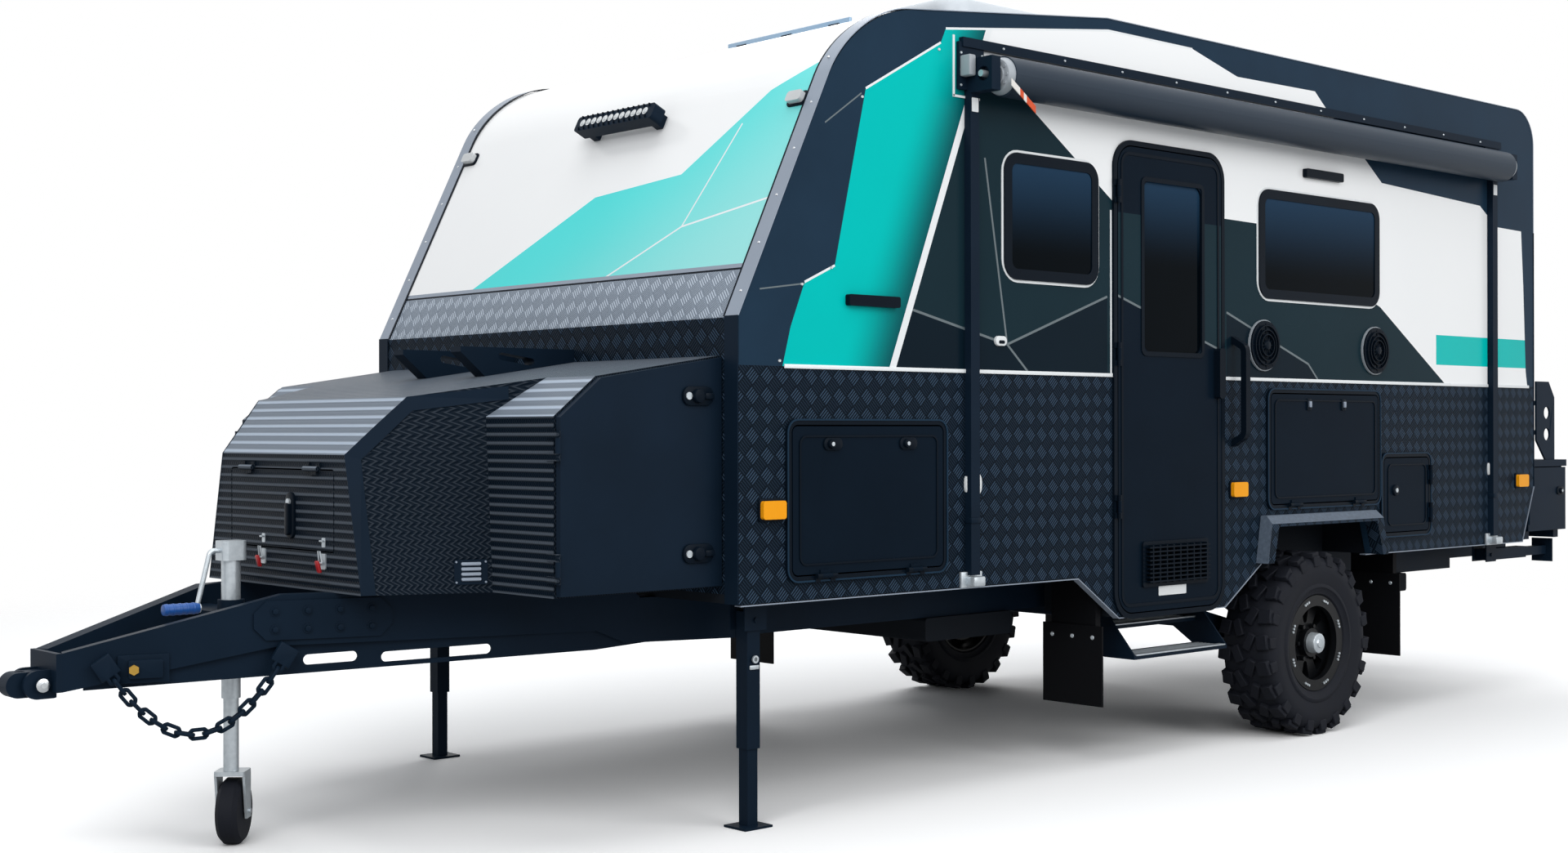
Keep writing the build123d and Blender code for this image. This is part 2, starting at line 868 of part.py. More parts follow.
jockey_bore_radius = jockey_leg_radius + jockey_slide_clear
jockey_leg_low_z = 238
jockey_lift = 150
with BuildPart() as jockey_tube:
    with BuildSketch(Plane.XY.offset(jockey_tube_low_z)):
        with Locations((jockey_x, jockey_y)):
            Circle(jockey_tube_radius)
    extrude(amount=jockey_head_z - 62 - jockey_tube_low_z)
    with BuildSketch(Plane.XY.offset(jockey_head_z)):
        with Locations((jockey_x, jockey_y)):
            RectangleRounded(82, 72, 16)
    extrude(amount=-62)
    with BuildSketch(Plane.XY.offset(jockey_tube_low_z)):
        with Locations((jockey_x, jockey_y)):
            Circle(jockey_bore_radius)
    extrude(amount=jockey_head_z - 70 - jockey_tube_low_z, mode=Mode.SUBTRACT)
save(jockey_tube, "jockey_tube")

crank_start = Vector(jockey_x + 41, jockey_y, jockey_head_z - 30)
crank_knee = crank_start + Vector(30, 0, 0)
crank_end = crank_knee + Vector(45, 0, -178)
grip_length = 118
with BuildPart() as jockey_crank:
    with BuildLine():
        FilletPolyline(crank_start, crank_knee, crank_end, radius=18)
    with BuildSketch(Plane(origin=crank_start, z_dir=(1, 0, 0))):
        Circle(8)
    sweep()
    with BuildSketch(Plane.YZ.offset(crank_end.X - 10)):
        with Locations((crank_end.Y, crank_end.Z)):
            Circle(15)
    extrude(amount=grip_length)
    fillet(jockey_crank.faces().sort_by(Axis.X)[-1].edges(), 6)
save(jockey_crank, "jockey_crank")

stem_radius = 13
with BuildPart() as jockey_leg:
    with BuildSketch(Plane.XY.offset(jockey_leg_low_z)):
        with Locations((jockey_x, jockey_y)):
            Circle(jockey_leg_radius)
    extrude(amount=jockey_head_z - 70 - jockey_lift - 20 - jockey_leg_low_z)
    with BuildSketch(Plane.XY.offset(jockey_leg_low_z)):
        with Locations((jockey_x, jockey_y)):
            Circle(stem_radius + stub_clear)
    extrude(amount=70, mode=Mode.SUBTRACT)
save(jockey_leg, "jockey_leg")

fork_half = jockey_wheel_width / 2 + 6
fork_plate = 8
jockey_axle_x = jockey_x - jockey_trail
with BuildPart() as jockey_fork:
    with BuildSketch(Plane.XY.offset(jockey_leg_low_z - 0.4)):
        with Locations((jockey_x - jockey_trail / 2, jockey_y)):
            RectangleRounded(90, 2 * (fork_half + fork_plate), 12)
    extrude(amount=-14)
    with BuildSketch(Plane.XZ.offset(-jockey_y - fork_half - fork_plate)):
        with BuildLine():
            Polyline(
                (jockey_x - 52, jockey_leg_low_z - 8),
                (jockey_x + 22, jockey_leg_low_z - 8),
                (jockey_axle_x + 22, jockey_wheel_radius - 22),
                (jockey_axle_x - 22, jockey_wheel_radius - 22),
                close=True,
            )
        make_face()
    extrude(amount=fork_plate)
    mirror(about=Plane.XZ.offset(-jockey_y))
    with BuildSketch(Plane.XZ.offset(-jockey_y - fork_half - fork_plate - 6)):
        with Locations((jockey_axle_x, jockey_wheel_radius)):
            Circle(jockey_pin_radius)
    extrude(amount=2 * (fork_half + fork_plate + 6))
    with BuildSketch(Plane.XY.offset(jockey_leg_low_z - 1)):
        with Locations((jockey_x, jockey_y)):
            Circle(stem_radius)
    extrude(amount=66)
jockey_axis = Axis((jockey_x, jockey_y, 0), (0, 0, 1))
jockey_fork.part = jockey_fork.part.rotate(jockey_axis, jockey_swing)
save(jockey_fork, "jockey_fork")

with BuildPart() as jockey_wheel:
    with BuildSketch(Plane.YZ.offset(jockey_axle_x)) as section:
        with Locations((jockey_y, jockey_wheel_radius + jockey_wheel_radius / 2)):
            Rectangle(jockey_wheel_width, jockey_wheel_radius)
        top_corners = section.vertices().group_by(Axis.Y)[-1]
        chamfer(top_corners, jockey_shoulder)
    revolve(axis=Axis((jockey_axle_x, 0, jockey_wheel_radius), (0, 1, 0)))
    with BuildSketch(Plane.XZ.offset(-jockey_y - fork_half)):
        with Locations((jockey_axle_x, jockey_wheel_radius)):
            Circle(jockey_pin_radius + pin_clear)
    extrude(amount=2 * fork_half, mode=Mode.SUBTRACT)
jockey_wheel.part = jockey_wheel.part.rotate(jockey_axis, jockey_swing)
save(jockey_wheel, "jockey_wheel")

# Stabiliser legs on pinned brackets
leg_clear = 5
bracket_plate = 6
with BuildPart() as leg_brackets:
    for x in (leg_front_x, leg_rear_x):
        with BuildSketch(Plane.XZ.offset(-leg_y - leg_size / 2 - leg_clear - bracket_plate)):
            with Locations((x, skirt_z)):
                Rectangle(96, skirt_z - leg_pivot_z + 34, align=(Align.CENTER, Align.MAX))
        extrude(amount=bracket_plate)
        with BuildSketch(Plane.XZ.offset(-leg_y + leg_size / 2 + leg_clear + bracket_plate)):
            with Locations((x, skirt_z)):
                Rectangle(96, skirt_z - leg_pivot_z + 34, align=(Align.CENTER, Align.MAX))
        extrude(amount=-bracket_plate)
        with BuildSketch(Plane.XZ.offset(-leg_y - leg_size / 2 - leg_clear - 2 * bracket_plate)):
            with Locations((x, leg_pivot_z)):
                Circle(leg_pin_radius)
        extrude(amount=leg_size + 2 * leg_clear + 4 * bracket_plate)
    mirror(about=Plane.XZ)
save(leg_brackets, "leg_brackets")


def drop_leg(x, length):
    with BuildPart() as leg:
        with Locations((x, leg_y, leg_pivot_z + leg_size / 2)):
            Box(
                leg_size,
                leg_size,
                0.62 * length + leg_size / 2,
                align=(Align.CENTER, Align.CENTER, Align.MAX),
            )
        with Locations((x, leg_y, leg_pivot_z)):
            Box(
                leg_size - 12,
                leg_size - 12,
                length - 6,
                align=(Align.CENTER, Align.CENTER, Align.MAX),
            )
        with Locations((x, leg_y, leg_pivot_z - length)):
            Box(
                leg_foot_length,
                leg_foot_length - 10,
                8,
                align=(Align.CENTER, Align.CENTER, Align.MIN),
            )
        with BuildSketch(Plane.XZ.offset(-leg_y - leg_size)):
            with Locations((x, leg_pivot_z)):
                Circle(leg_pin_radius + pin_clear)
        extrude(amount=2 * leg_size, mode=Mode.SUBTRACT)
    return leg


leg_front_left = drop_leg(leg_front_x, leg_pivot_z)
save(leg_front_left, "leg_front_left")

with BuildPart() as leg_front_right:
    mirror(leg_front_left.part, about=Plane.XZ)
save(leg_front_right, "leg_front_right")

rear_leg_length = 610
leg_down = drop_leg(leg_rear_x, rear_leg_length)
leg_axis = Axis((leg_rear_x, 0, leg_pivot_z), (0, 1, 0))
with BuildPart() as leg_rear_left:
    add(leg_down.part.rotate(leg_axis, 90))
save(leg_rear_left, "leg_rear_left")

with BuildPart() as leg_rear_right:
    mirror(leg_rear_left.part, about=Plane.XZ)
save(leg_rear_right, "leg_rear_right")


# Front toolbox: wide rear part with a lofted centre part in front of it
def wide_outline(y, inset):
    with BuildSketch(Plane.XZ.offset(-y)) as outline:
        with BuildLine():
            Polyline(
                (front_x, box_low_z),
                (box_wide_x, box_low_z),
                (box_wide_x, box_chamfer_low_z),
                (box_chamfer_x, box_chamfer_z),
                (front_x, box_rear_z),
                close=True,
            )
        make_face()
        if inset:
            offset(amount=-inset, kind=Kind.INTERSECTION, mode=Mode.REPLACE)
    return outline.sketch


def toolbox_block(inset):
    lofted_top_z = box_rear_z + 60
    low_z = box_low_z + inset
    front_half = box_front_low_half - inset
    rear_half = front_half + cheek_flare * (box_front_x - box_chamfer_x)
    front_top_half = front_half - cheek_lean * (lofted_top_z - low_z)
    with BuildPart() as block:
        with BuildSketch(Plane.YZ.offset(box_front_x - inset)):
            with BuildLine():
                Polyline(
                    (-front_half, low_z),
                    (front_half, low_z),
                    (front_top_half, lofted_top_z),
                    (-front_top_half, lofted_top_z),
                    close=True,
                )
            make_face()
        with BuildSketch(Plane.YZ.offset(box_chamfer_x)):
            with BuildLine():
                Polyline(
                    (-rear_half, low_z),
                    (rear_half, low_z),
                    (rear_half, lofted_top_z),
                    (-rear_half, lofted_top_z),
                    close=True,
                )
            make_face()
        loft(ruled=True)
        with BuildSketch(Plane.XZ.offset(-box_wide_half)):
            with BuildLine():
                Polyline(
                    (box_front_x, box_front_high_z - inset * 1.4),
                    (box_slope_x, box_slope_z - inset * 1.4),
                    (box_chamfer_x, box_chamfer_z - inset),
                    (box_chamfer_x, lofted_top_z + 10),
                    (box_front_x, lofted_top_z + 10),
                    close=True,
                )
            make_face()
        extrude(amount=2 * box_wide_half, mode=Mode.SUBTRACT)
        extrude(wide_outline(box_wide_half - inset, inset), amount=2 * (box_wide_half - inset))
    return block.part


box_door_border = 40
door_leaf_y = box_wide_half + leaf_clear
door_leaf_face_y = door_leaf_y + box_door_thick
box_door_edge = 6
box_hinges = [
    hinge_place(
        (box_wide_x + hinge_seat, door_leaf_face_y + hinge_seat, z),
        (-1, 0, 0),
        (0, 1, 0),
    )
    for z in (box_low_z + 90, box_chamfer_low_z - 90)
]


def corner_ears(place, reach):
    ear_at = knuckle_length / 2 + ear_gap + ear_length / 2
    with BuildPart(place) as ears:
        Cylinder(pin_radius, knuckle_length + 2 * ear_length)
        with Locations((0, 0, -ear_at), (0, 0, ear_at)):
            Cylinder(knuckle_radius, ear_length)
        with Locations((hinge_seat, 0, -ear_at), (hinge_seat, 0, ear_at)):
            Box(6, reach, ear_length, align=(Align.MAX, Align.MAX, Align.CENTER))
    return ears.part


front_door_span = (-front_door_half, front_door_half, front_door_low_z, front_door_high_z)
front_door_hinges = [
    hinge_place(
        (box_front_x + hinge_seat, y, front_door_high_z + hinge_reach),
        (0, 0, -1),
        (1, 0, 0),
    )
    for y in (-220, 220)
]
corner_reach = hinge_seat + box_door_thick + leaf_clear + 30
with BuildPart() as toolbox_shell:
    add(toolbox_block(0))
    add(toolbox_block(box_sheet), mode=Mode.SUBTRACT)
    extrude(
        wide_outline(box_wide_half, box_door_border),
        amount=2 * box_wide_half,
        mode=Mode.SUBTRACT,
    )
    with BuildSketch(Plane.YZ.offset(box_front_x)):
        with Locations((0, (front_door_low_z + front_door_high_z) / 2)):
            RectangleRounded(
                2 * (front_door_half + leaf_clear),
                front_door_high_z - front_door_low_z + 2 * leaf_clear,
                14,
            )
    extrude(amount=-2 * box_sheet, mode=Mode.SUBTRACT)
    for place in box_hinges:
        add(corner_ears(place, corner_reach))
        add(mirror(corner_ears(place, corner_reach), about=Plane.XZ, mode=Mode.PRIVATE))
    for place in front_door_hinges:
        add(hinge_ears(place))
save(toolbox_shell, "toolbox_shell")

with BuildPart() as toolbox_front_door:
    with BuildSketch(Plane.YZ.offset(box_front_x)):
        with Locations((0, (front_door_low_z + front_door_high_z) / 2)):
            RectangleRounded(2 * front_door_half, front_door_high_z - front_door_low_z, 9)
    extrude(amount=-box_door_thick)
    for place in front_door_hinges:
        add(hinge_knuckle(place))
save(toolbox_front_door, "toolbox_front_door")

with BuildPart() as toolbox_door_left:
    extrude(wide_outline(door_leaf_face_y, box_door_edge), amount=box_door_thick)
    for place in box_hinges:
        add(hinge_knuckle(place))
save(toolbox_door_left, "toolbox_door_left")

with BuildPart() as toolbox_door_right:
    mirror(toolbox_door_left.part, about=Plane.XZ)
save(toolbox_door_right, "toolbox_door_right")

# Slotted rack arms over the toolbox
rack_y = 185
rack_width = 62
rack_top_z = 1604
rack_tip_x = 3748
rack_foot_x = 3650
box_top_fall = (box_rear_z - box_chamfer_z) / (box_chamfer_x - front_x)
rack_foot_z = box_rear_z - box_top_fall * (rack_foot_x - front_x)
with BuildPart() as rack_arms:
    with BuildSketch(Plane.XZ.offset(-rack_y - rack_width / 2)):
        with BuildLine():
            Polyline(
                (front_x, rack_top_z),
                (rack_tip_x, rack_top_z),
                (rack_tip_x, rack_top_z - 18),
                (rack_foot_x, rack_foot_z),
                (front_x, box_rear_z),
                close=True,
            )
        make_face()
        with Locations(Location((3520, 1565), 8)):
            SlotOverall(150, 26, mode=Mode.SUBTRACT)
    extrude(amount=rack_width)
    mirror(about=Plane.XZ)
save(rack_arms, "rack_arms")

# Trailing-arm suspension: cross tube, hangers, arms, stubs and dampers
spring_seat_z = 500
with BuildPart() as suspension:
    with BuildSketch(Plane.XZ.offset(-arm_y - arm_width / 2)):
        with Locations((arm_pivot_x, arm_pivot_z)):
            Circle(48)
    extrude(amount=2 * arm_y + arm_width)
    with Locations((arm_pivot_x, rail_y, rail_low_z), (arm_pivot_x, -rail_y, rail_low_z)):
        Box(150, rail_width, rail_low_z - arm_pivot_z, align=(Align.CENTER, Align.CENTER, Align.MAX))
    with BuildSketch(Plane.XZ.offset(-arm_y - arm_width / 2)):
        with BuildLine():
            Polyline(
                (arm_pivot_x + 30, arm_pivot_z - arm_depth / 2),
                (arm_pivot_x + 30, arm_pivot_z + arm_depth / 2),
                (0, tyre_radius + arm_depth / 2),
                (-200, tyre_radius + arm_depth / 2),
                (-200, tyre_radius - 10),
                (0, tyre_radius - arm_depth / 2),
                close=True,
            )
        make_face()
    extrude(amount=arm_width)
    with BuildSketch(Plane.XZ.offset(-arm_y)):
        with Locations((0, tyre_radius)):
            Circle(stub_radius)
    extrude(amount=-(wheel_y - arm_y))
    with BuildSketch(Plane.XY.offset(spring_seat_z)):
        with Locations((spring_x, arm_y)):
            Circle(spring_radius + spring_wire)
    extrude(amount=-(spring_seat_z - tyre_radius))
    mirror(about=Plane.XZ)
save(suspension, "suspension")

spring_turns = 4
spring_height = skirt_z - spring_seat_z - 2 * spring_wire
with BuildPart() as springs_and_dampers:
    with BuildLine(Plane(origin=(spring_x, arm_y, spring_seat_z + spring_wire))):
        coil = Helix(spring_height / spring_turns, spring_height, spring_radius)
    with BuildSketch(Plane(origin=coil @ 0, z_dir=coil % 0)):
        RegularPolygon(spring_wire, 6)
    sweep()
    with BuildSketch(Plane.XY.offset(skirt_z)):
        with Locations((damper_x, arm_y)):
            Circle(27)
    extrude(amount=-(skirt_z - tyre_radius - arm_depth / 2))
    mirror(about=Plane.XZ)
save(springs_and_dampers, "springs_and_dampers")


# Wheels: the tyre's shoulder grooves leave staggered lugs
tyre_half = tyre_width / 2
bead_half = rim_width / 2
shoulder_drop = 27
shoulder_inset = 16
tread_inset = 40
wall_radius = rim_radius + (tyre_radius - rim_radius) / 2
lug_count = 22
lug_depth = 15
lug_gap = 30
lug_reach = 84
lug_skew = 14
lug_pitch = 360 / lug_count
with BuildPart() as tyre_left:
    with BuildSketch(Plane.YZ):
        with BuildLine():
            Polyline(
                (wheel_y, tyre_radius + rim_radius),
                (wheel_y + bead_half, tyre_radius + rim_radius),
                (wheel_y + tyre_half, tyre_radius + wall_radius),
                (wheel_y + tyre_half - shoulder_inset, 2 * tyre_radius - shoulder_drop),
                (wheel_y + tyre_half - tread_inset, 2 * tyre_radius),
                (wheel_y, 2 * tyre_radius),
                close=True,
            )
        make_face()
        mirror(about=Plane.YZ.offset(wheel_y))
    revolve(axis=Axis((0, 0, tyre_radius), (0, 1, 0)))
    for side, turn in ((1, lug_pitch / 2), (-1, lug_pitch / 4)):
        for number in range(lug_count):
            around = Rot(Y=turn + number * lug_pitch)
            groove_at = Location((0, wheel_y, tyre_radius)) * around
            with Locations(groove_at * Pos(0, side * tyre_half, -tyre_radius) * Rot(Z=side * lug_skew)):
                Box(lug_gap, 2 * lug_reach, 2 * lug_depth, mode=Mode.SUBTRACT)
save(tyre_left, "tyre_left")

with BuildPart() as tyre_right:
    mirror(tyre_left.part, about=Plane.XZ)
save(tyre_right, "tyre_right")

spoke_count = 8
ring_inner_radius = 160
wheel_plane = Plane(origin=(0, 0, tyre_radius), x_dir=(1, 0, 0), z_dir=(0, 1, 0))
rim_outer_y = wheel_y + rim_width / 2
spoke_thick = 30
with BuildPart() as rim_left:
    with BuildSketch(wheel_plane.offset(wheel_y - rim_width / 2)):
        Circle(rim_radius)
        Circle(rim_radius - rim_wall, mode=Mode.SUBTRACT)
    extrude(amount=rim_width)
    with BuildSketch(wheel_plane.offset(rim_outer_y)):
        Circle(rim_radius)
        Circle(ring_inner_radius, mode=Mode.SUBTRACT)
    extrude(amount=-26)
    with BuildSketch(wheel_plane.offset(rim_face_y)):
        Circle(rim_radius)
    extrude(amount=-spoke_thick)
    with BuildSketch(wheel_plane.offset(rim_face_y)) as windows:
        with PolarLocations(122, spoke_count):
            Trapezoid(62, 78, 105, rotation=-90)
        fillet(windows.vertices(), 12)
    extrude(amount=-spoke_thick, mode=Mode.SUBTRACT)
    with BuildSketch(wheel_plane.offset(hub_inner_y)):
        Circle(hub_radius)
    extrude(amount=rim_face_y + 34 - hub_inner_y)
    with BuildSketch(wheel_plane.offset(hub_inner_y)):
        Circle(drum_radius)
    extrude(amount=drum_width)
    with BuildSketch(wheel_plane.offset(hub_inner_y)):
        Circle(stub_radius + stub_clear)
    extrude(amount=wheel_y - hub_inner_y + 2, mode=Mode.SUBTRACT)
save(rim_left, "rim_left")

with BuildPart() as rim_right:
    mirror(rim_left.part, about=Plane.XZ)
save(rim_right, "rim_right")

with BuildPart() as spare_wheel:
    add(tyre_left.part)
    add(rim_left.part)
spare_plane = Plane(origin=(spare_x, spare_y, spare_z), x_dir=(0, 1, 0), z_dir=(-1, 0, 0))
wheel_middle = Plane(origin=(0, wheel_y, tyre_radius), x_dir=(1, 0, 0), z_dir=(0, 1, 0))
spare_wheel.part = spare_plane.location * wheel_middle.location.inverse() * spare_wheel.part
save(spare_wheel, "spare_wheel")

# Mud flaps on hanger bars
flap_thick = 8
flap_width = 295
flap_lap = 60
hanger_thick = 30
hanger_width = 220
front_flap = (1420, 950, 560, 250)
rear_flap = (-800, 915, 650, 270)
with BuildPart() as mud_flaps:
    for x, y, high_z, low_z in (front_flap, rear_flap):
        with Locations((x, y, high_z)):
            Box(flap_thick, flap_width, high_z - low_z, align=(Align.CENTER, Align.CENTER, Align.MAX))
        with Locations((x - flap_thick / 2, y, skirt_z)):
            Box(
                hanger_thick,
                hanger_width,
                skirt_z - high_z + flap_lap,
                align=(Align.MAX, Align.CENTER, Align.MAX),
            )
    mirror(about=Plane.XZ)
save(mud_flaps, "mud_flaps")

# Double entry step under the well
step_x = 900
step_half = 300
tread_thick = 16
tread_depth = 150
tread_low_z = 430
tread_high_z = 535
step_inner_y = 785
step_plate = 8
with BuildPart() as entry_step:
    with Locations(
        (step_x, step_inner_y + 2 * tread_depth, tread_low_z),
        (step_x, step_inner_y + tread_depth, tread_high_z),
    ):
        Box(2 * step_half, tread_depth, tread_thick, align=(Align.CENTER, Align.MAX, Align.MAX))
    with BuildSketch(Plane.YZ.offset(step_x + step_half)):
        with BuildLine():
            Polyline(
                (step_inner_y, dip_z),
                (step_inner_y + tread_depth + 10, dip_z),
                (step_inner_y + 2 * tread_depth, tread_low_z),
                (step_inner_y + 2 * tread_depth, tread_low_z - tread_thick),
                (step_inner_y + tread_depth, tread_low_z - tread_thick),
                (step_inner_y, tread_high_z - 25),
                close=True,
            )
        make_face()
    extrude(amount=step_plate)
    mirror(about=Plane.YZ.offset(step_x))
save(entry_step, "entry_step")

tank_length = 490
tank_width = 1500
tank_depth = 88
tank_places = (1795, -1150)
with BuildPart() as water_tanks:
    with Locations(*[(x, 0, rail_low_z) for x in tank_places]):
        Box(tank_length, tank_width, tank_depth, align=(Align.CENTER, Align.CENTER, Align.MAX))
    fillet(water_tanks.edges().filter_by(Axis.Y), 14)
save(water_tanks, "water_tanks")

# Rear rack, box and spare carrier
rack_beam = 50
rack_depth = 100
rack_seat = 0.3
rack_deck_z = rear_box_low_z
rack_inset = 60
post_x = rear_x - 80
post_width = 120
post_over = 120
stay_thick = 10
stay_reach = 190
stay_hole_radius = 32
with BuildPart() as rear_rack:
    with Locations((rail_rear_x, rail_y, rail_top_z), (rail_rear_x, -rail_y, rail_top_z)):
        Box(
            rail_rear_x - rear_box_x,
            rail_width,
            rack_depth,
            align=(Align.MAX, Align.CENTER, Align.MAX),
        )
    with Locations((post_x, 0, rack_deck_z), (rear_box_x + rack_inset, 0, rack_deck_z)):
        Box(
            rack_beam,
            2 * rear_box_outer_y - rack_inset,
            rack_deck_z - rail_top_z - rack_seat,
            align=(Align.CENTER, Align.CENTER, Align.MAX),
        )
    with Locations((post_x, spare_y, rack_deck_z)):
        Box(
            rack_beam,
            post_width,
            spare_z + post_over - rack_deck_z,
            align=(Align.CENTER, Align.CENTER, Align.MIN),
        )
    with BuildSketch(Plane.YZ.offset(spare_x)):
        with Locations((spare_y, spare_z)):
            Circle(stub_radius)
    extrude(amount=post_x - spare_x)
    with BuildSketch(Plane.XZ.offset(-rear_box_outer_y + rack_inset)):
        with BuildLine():
            Polyline(
                (rear_x, stay_top_z),
                (rear_x - stay_reach + 60, stay_top_z),
                (rear_x - stay_reach, stay_top_z - 80),
                (rear_x - stay_reach, rear_box_high_z),
                (rear_x - stay_reach / 2, rear_box_high_z),
                (rear_x, rear_box_high_z + 100),
                close=True,
            )
        make_face()
        with Locations(
            (rear_x - stay_reach / 2 - 15, stay_top_z - 160),
            (rear_x - stay_reach / 2 - 15, stay_top_z - 270),
        ):
            Circle(stay_hole_radius, mode=Mode.SUBTRACT)
    extrude(amount=stay_thick)
save(rear_rack, "rear_rack")

rear_door_thick = 16
rear_box_run = rear_box_length - lid_lip
rear_shell_y = rear_box_outer_y - rear_door_thick - leaf_clear
rear_hinges = [
    hinge_place(
        (rear_box_front_x + hinge_seat, rear_box_outer_y + hinge_seat, z),
        (-1, 0, 0),
        (0, 1, 0),
    )
    for z in (rear_box_low_z + 80, rear_box_high_z - 110)
]
with BuildPart() as rear_box:
    with Locations((rear_box_front_x, rear_shell_y, rear_box_low_z)):
        Box(
            rear_box_run,
            rear_shell_y - rear_box_inner_y,
            rear_box_high_z - rear_box_low_z,
            align=(Align.MAX, Align.MAX, Align.MIN),
        )
    front_cut = rear_box_front_x - rear_box_sheet
    with Locations((front_cut, rear_shell_y, rear_box_low_z + rear_box_sheet)):
        Box(
            rear_box_run - 2 * rear_box_sheet,
            rear_shell_y - rear_box_inner_y - rear_box_sheet,
            rear_box_high_z - rear_box_low_z - 2 * rear_box_sheet,
            align=(Align.MAX, Align.MAX, Align.MIN),
            mode=Mode.SUBTRACT,
        )
    with Locations((rear_box_front_x, rear_box_outer_y, rear_box_high_z - lid_height)):
        Box(
            rear_box_length,
            rear_box_outer_y - rear_box_inner_y + lid_lip,
            lid_height,
            align=(Align.MAX, Align.MAX, Align.MIN),
        )
    for place in rear_hinges:
        add(corner_ears(place, hinge_seat + rear_door_thick + leaf_clear + 30))
save(rear_box, "rear_box")

rear_leaf_high_z = rear_box_high_z - lid_height - leaf_clear
with BuildPart() as rear_box_door:
    with Locations((rear_box_front_x - box_door_edge, rear_box_outer_y, rear_box_low_z)):
        Box(
            rear_box_run - box_door_edge,
            rear_door_thick,
            rear_leaf_high_z - rear_box_low_z,
            align=(Align.MAX, Align.MAX, Align.MIN),
        )
    for place in rear_hinges:
        add(hinge_knuckle(place))
save(rear_box_door, "rear_box_door")

# Safety chain hung from the drawbar: interlocked links, the end ones held in brackets
chain_bar = 8
chain_pitch = 42
chain_width = 34
chain_corner = 9
chain_slack = 0.8
chain_start = 135
chain_end = 655
chain_start_z = 588
chain_end_z = 640
chain_drop = 215
chain_out = 30
bracket_size = 60
bracket_back = 28
with BuildPart() as chain_link:
    with BuildSketch() as ring:
        Rectangle(chain_pitch + 2 * chain_bar, chain_width)
        chamfer(ring.vertices(), chain_corner)
        offset(amount=-chain_bar, kind=Kind.INTERSECTION, mode=Mode.SUBTRACT)
    extrude(amount=chain_bar / 2, both=True)


def chain_point(share):
    run = chain_start + (chain_end - chain_start) * share
    level = chain_start_z + (chain_end_z - chain_start_z) * share
    return bar_plane.from_local_coords(
        (run, level - 4 * chain_drop * share * (1 - share), chain_out)
    )


with BuildLine():
    hang = Spline(*[chain_point(step / 8) for step in range(9)])
link_run = chain_pitch - chain_slack
link_pairs = int(hang.length / link_run / 2)
bar_normal = bar_plane.z_dir
with BuildPart() as safety_chain:
    for number in range(2 * link_pairs + 1):
        where = number * link_run / hang.length
        along = hang % where
        flat = number % 2 == 0
        face = bar_normal if flat else along.cross(bar_normal)
        with Locations(Plane(origin=hang @ where, x_dir=along, z_dir=face)):
            add(chain_link.part)
    for where, way, proud in (
        (0, -1, 0),
        (2 * link_pairs * link_run / hang.length, 1, doubler_thick),
    ):
        along = hang % where
        seat = hang @ where + along * way * bracket_back - bar_normal * (chain_out - proud)
        with BuildSketch(Plane(origin=seat, x_dir=along, z_dir=bar_normal)):
            Rectangle(bracket_size, bracket_size)
        extrude(amount=chain_out - proud + chain_bar / 2)
save(safety_chain, "safety_chain")
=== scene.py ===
import bpy
import bmesh
from math import cos, pi, radians, sin
from mathutils import Matrix, Quaternion, Vector


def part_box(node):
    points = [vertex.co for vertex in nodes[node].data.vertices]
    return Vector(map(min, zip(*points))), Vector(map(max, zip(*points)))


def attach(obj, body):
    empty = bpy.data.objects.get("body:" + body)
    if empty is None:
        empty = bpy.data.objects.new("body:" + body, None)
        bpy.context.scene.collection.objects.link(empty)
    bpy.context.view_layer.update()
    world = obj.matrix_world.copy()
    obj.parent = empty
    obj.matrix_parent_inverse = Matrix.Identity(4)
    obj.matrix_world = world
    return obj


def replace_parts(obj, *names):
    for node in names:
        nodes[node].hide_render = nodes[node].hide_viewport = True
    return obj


# Off-road touring caravan. Metres; x forward, y to the door side, z up.
# Places are written from the ground point under the middle of the axle.

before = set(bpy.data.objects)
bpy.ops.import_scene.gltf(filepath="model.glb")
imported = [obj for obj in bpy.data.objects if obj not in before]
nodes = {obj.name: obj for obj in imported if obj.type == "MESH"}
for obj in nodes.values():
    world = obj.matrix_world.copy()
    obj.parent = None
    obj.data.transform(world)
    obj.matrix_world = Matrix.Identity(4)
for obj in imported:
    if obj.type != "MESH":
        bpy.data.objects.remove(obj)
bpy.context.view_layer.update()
scene = bpy.context.scene
scene.view_settings.view_transform = "Standard"

rimLow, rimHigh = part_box("rim_left")
axleX = (rimLow[0] + rimHigh[0]) / 2
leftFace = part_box("wall_left")[1][1]
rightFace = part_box("wall_right")[0][1]
middleY = (leftFace + rightFace) / 2
wallY = leftFace - middleY  # outer face of the side wall
beltZ = 1.528  # checker plate below it, colour above
sides = ((1, "left"), (-1, "right"))
print("frame loaded,", len(nodes), "solids")


def at(x, y, z):
    return Vector((axleX + x, middleY + y, z))


# Materials


def hexColour(code):
    parts = [int(code[i:i + 2], 16) / 255 for i in (1, 3, 5)]
    linear = [c / 12.92 if c <= 0.04045 else ((c + 0.055) / 1.055) ** 2.4 for c in parts]
    return linear + [1]


# A setting that is another node's output gets linked; the rest go to the node or to its inputs
def addNode(tree, kind, settings, out=0):
    node = tree.nodes.new("ShaderNode" + kind)
    for key, value in settings.items():
        if isinstance(value, bpy.types.NodeSocket):
            tree.links.new(value, node.inputs[key])
        elif hasattr(node, str(key)):
            setattr(node, key, value)
        else:
            node.inputs[key].default_value = value
    return node.outputs[out]


# Five-bar plate: bars in diamonds, turned a quarter from one diamond to the next; the bars carry a painted
# highlight, full on bars turned one way and dim on the others as a painted reflection
treadPlate = dict(diamond=0.065, bars=5, barLength=0.42, dim=0.3)


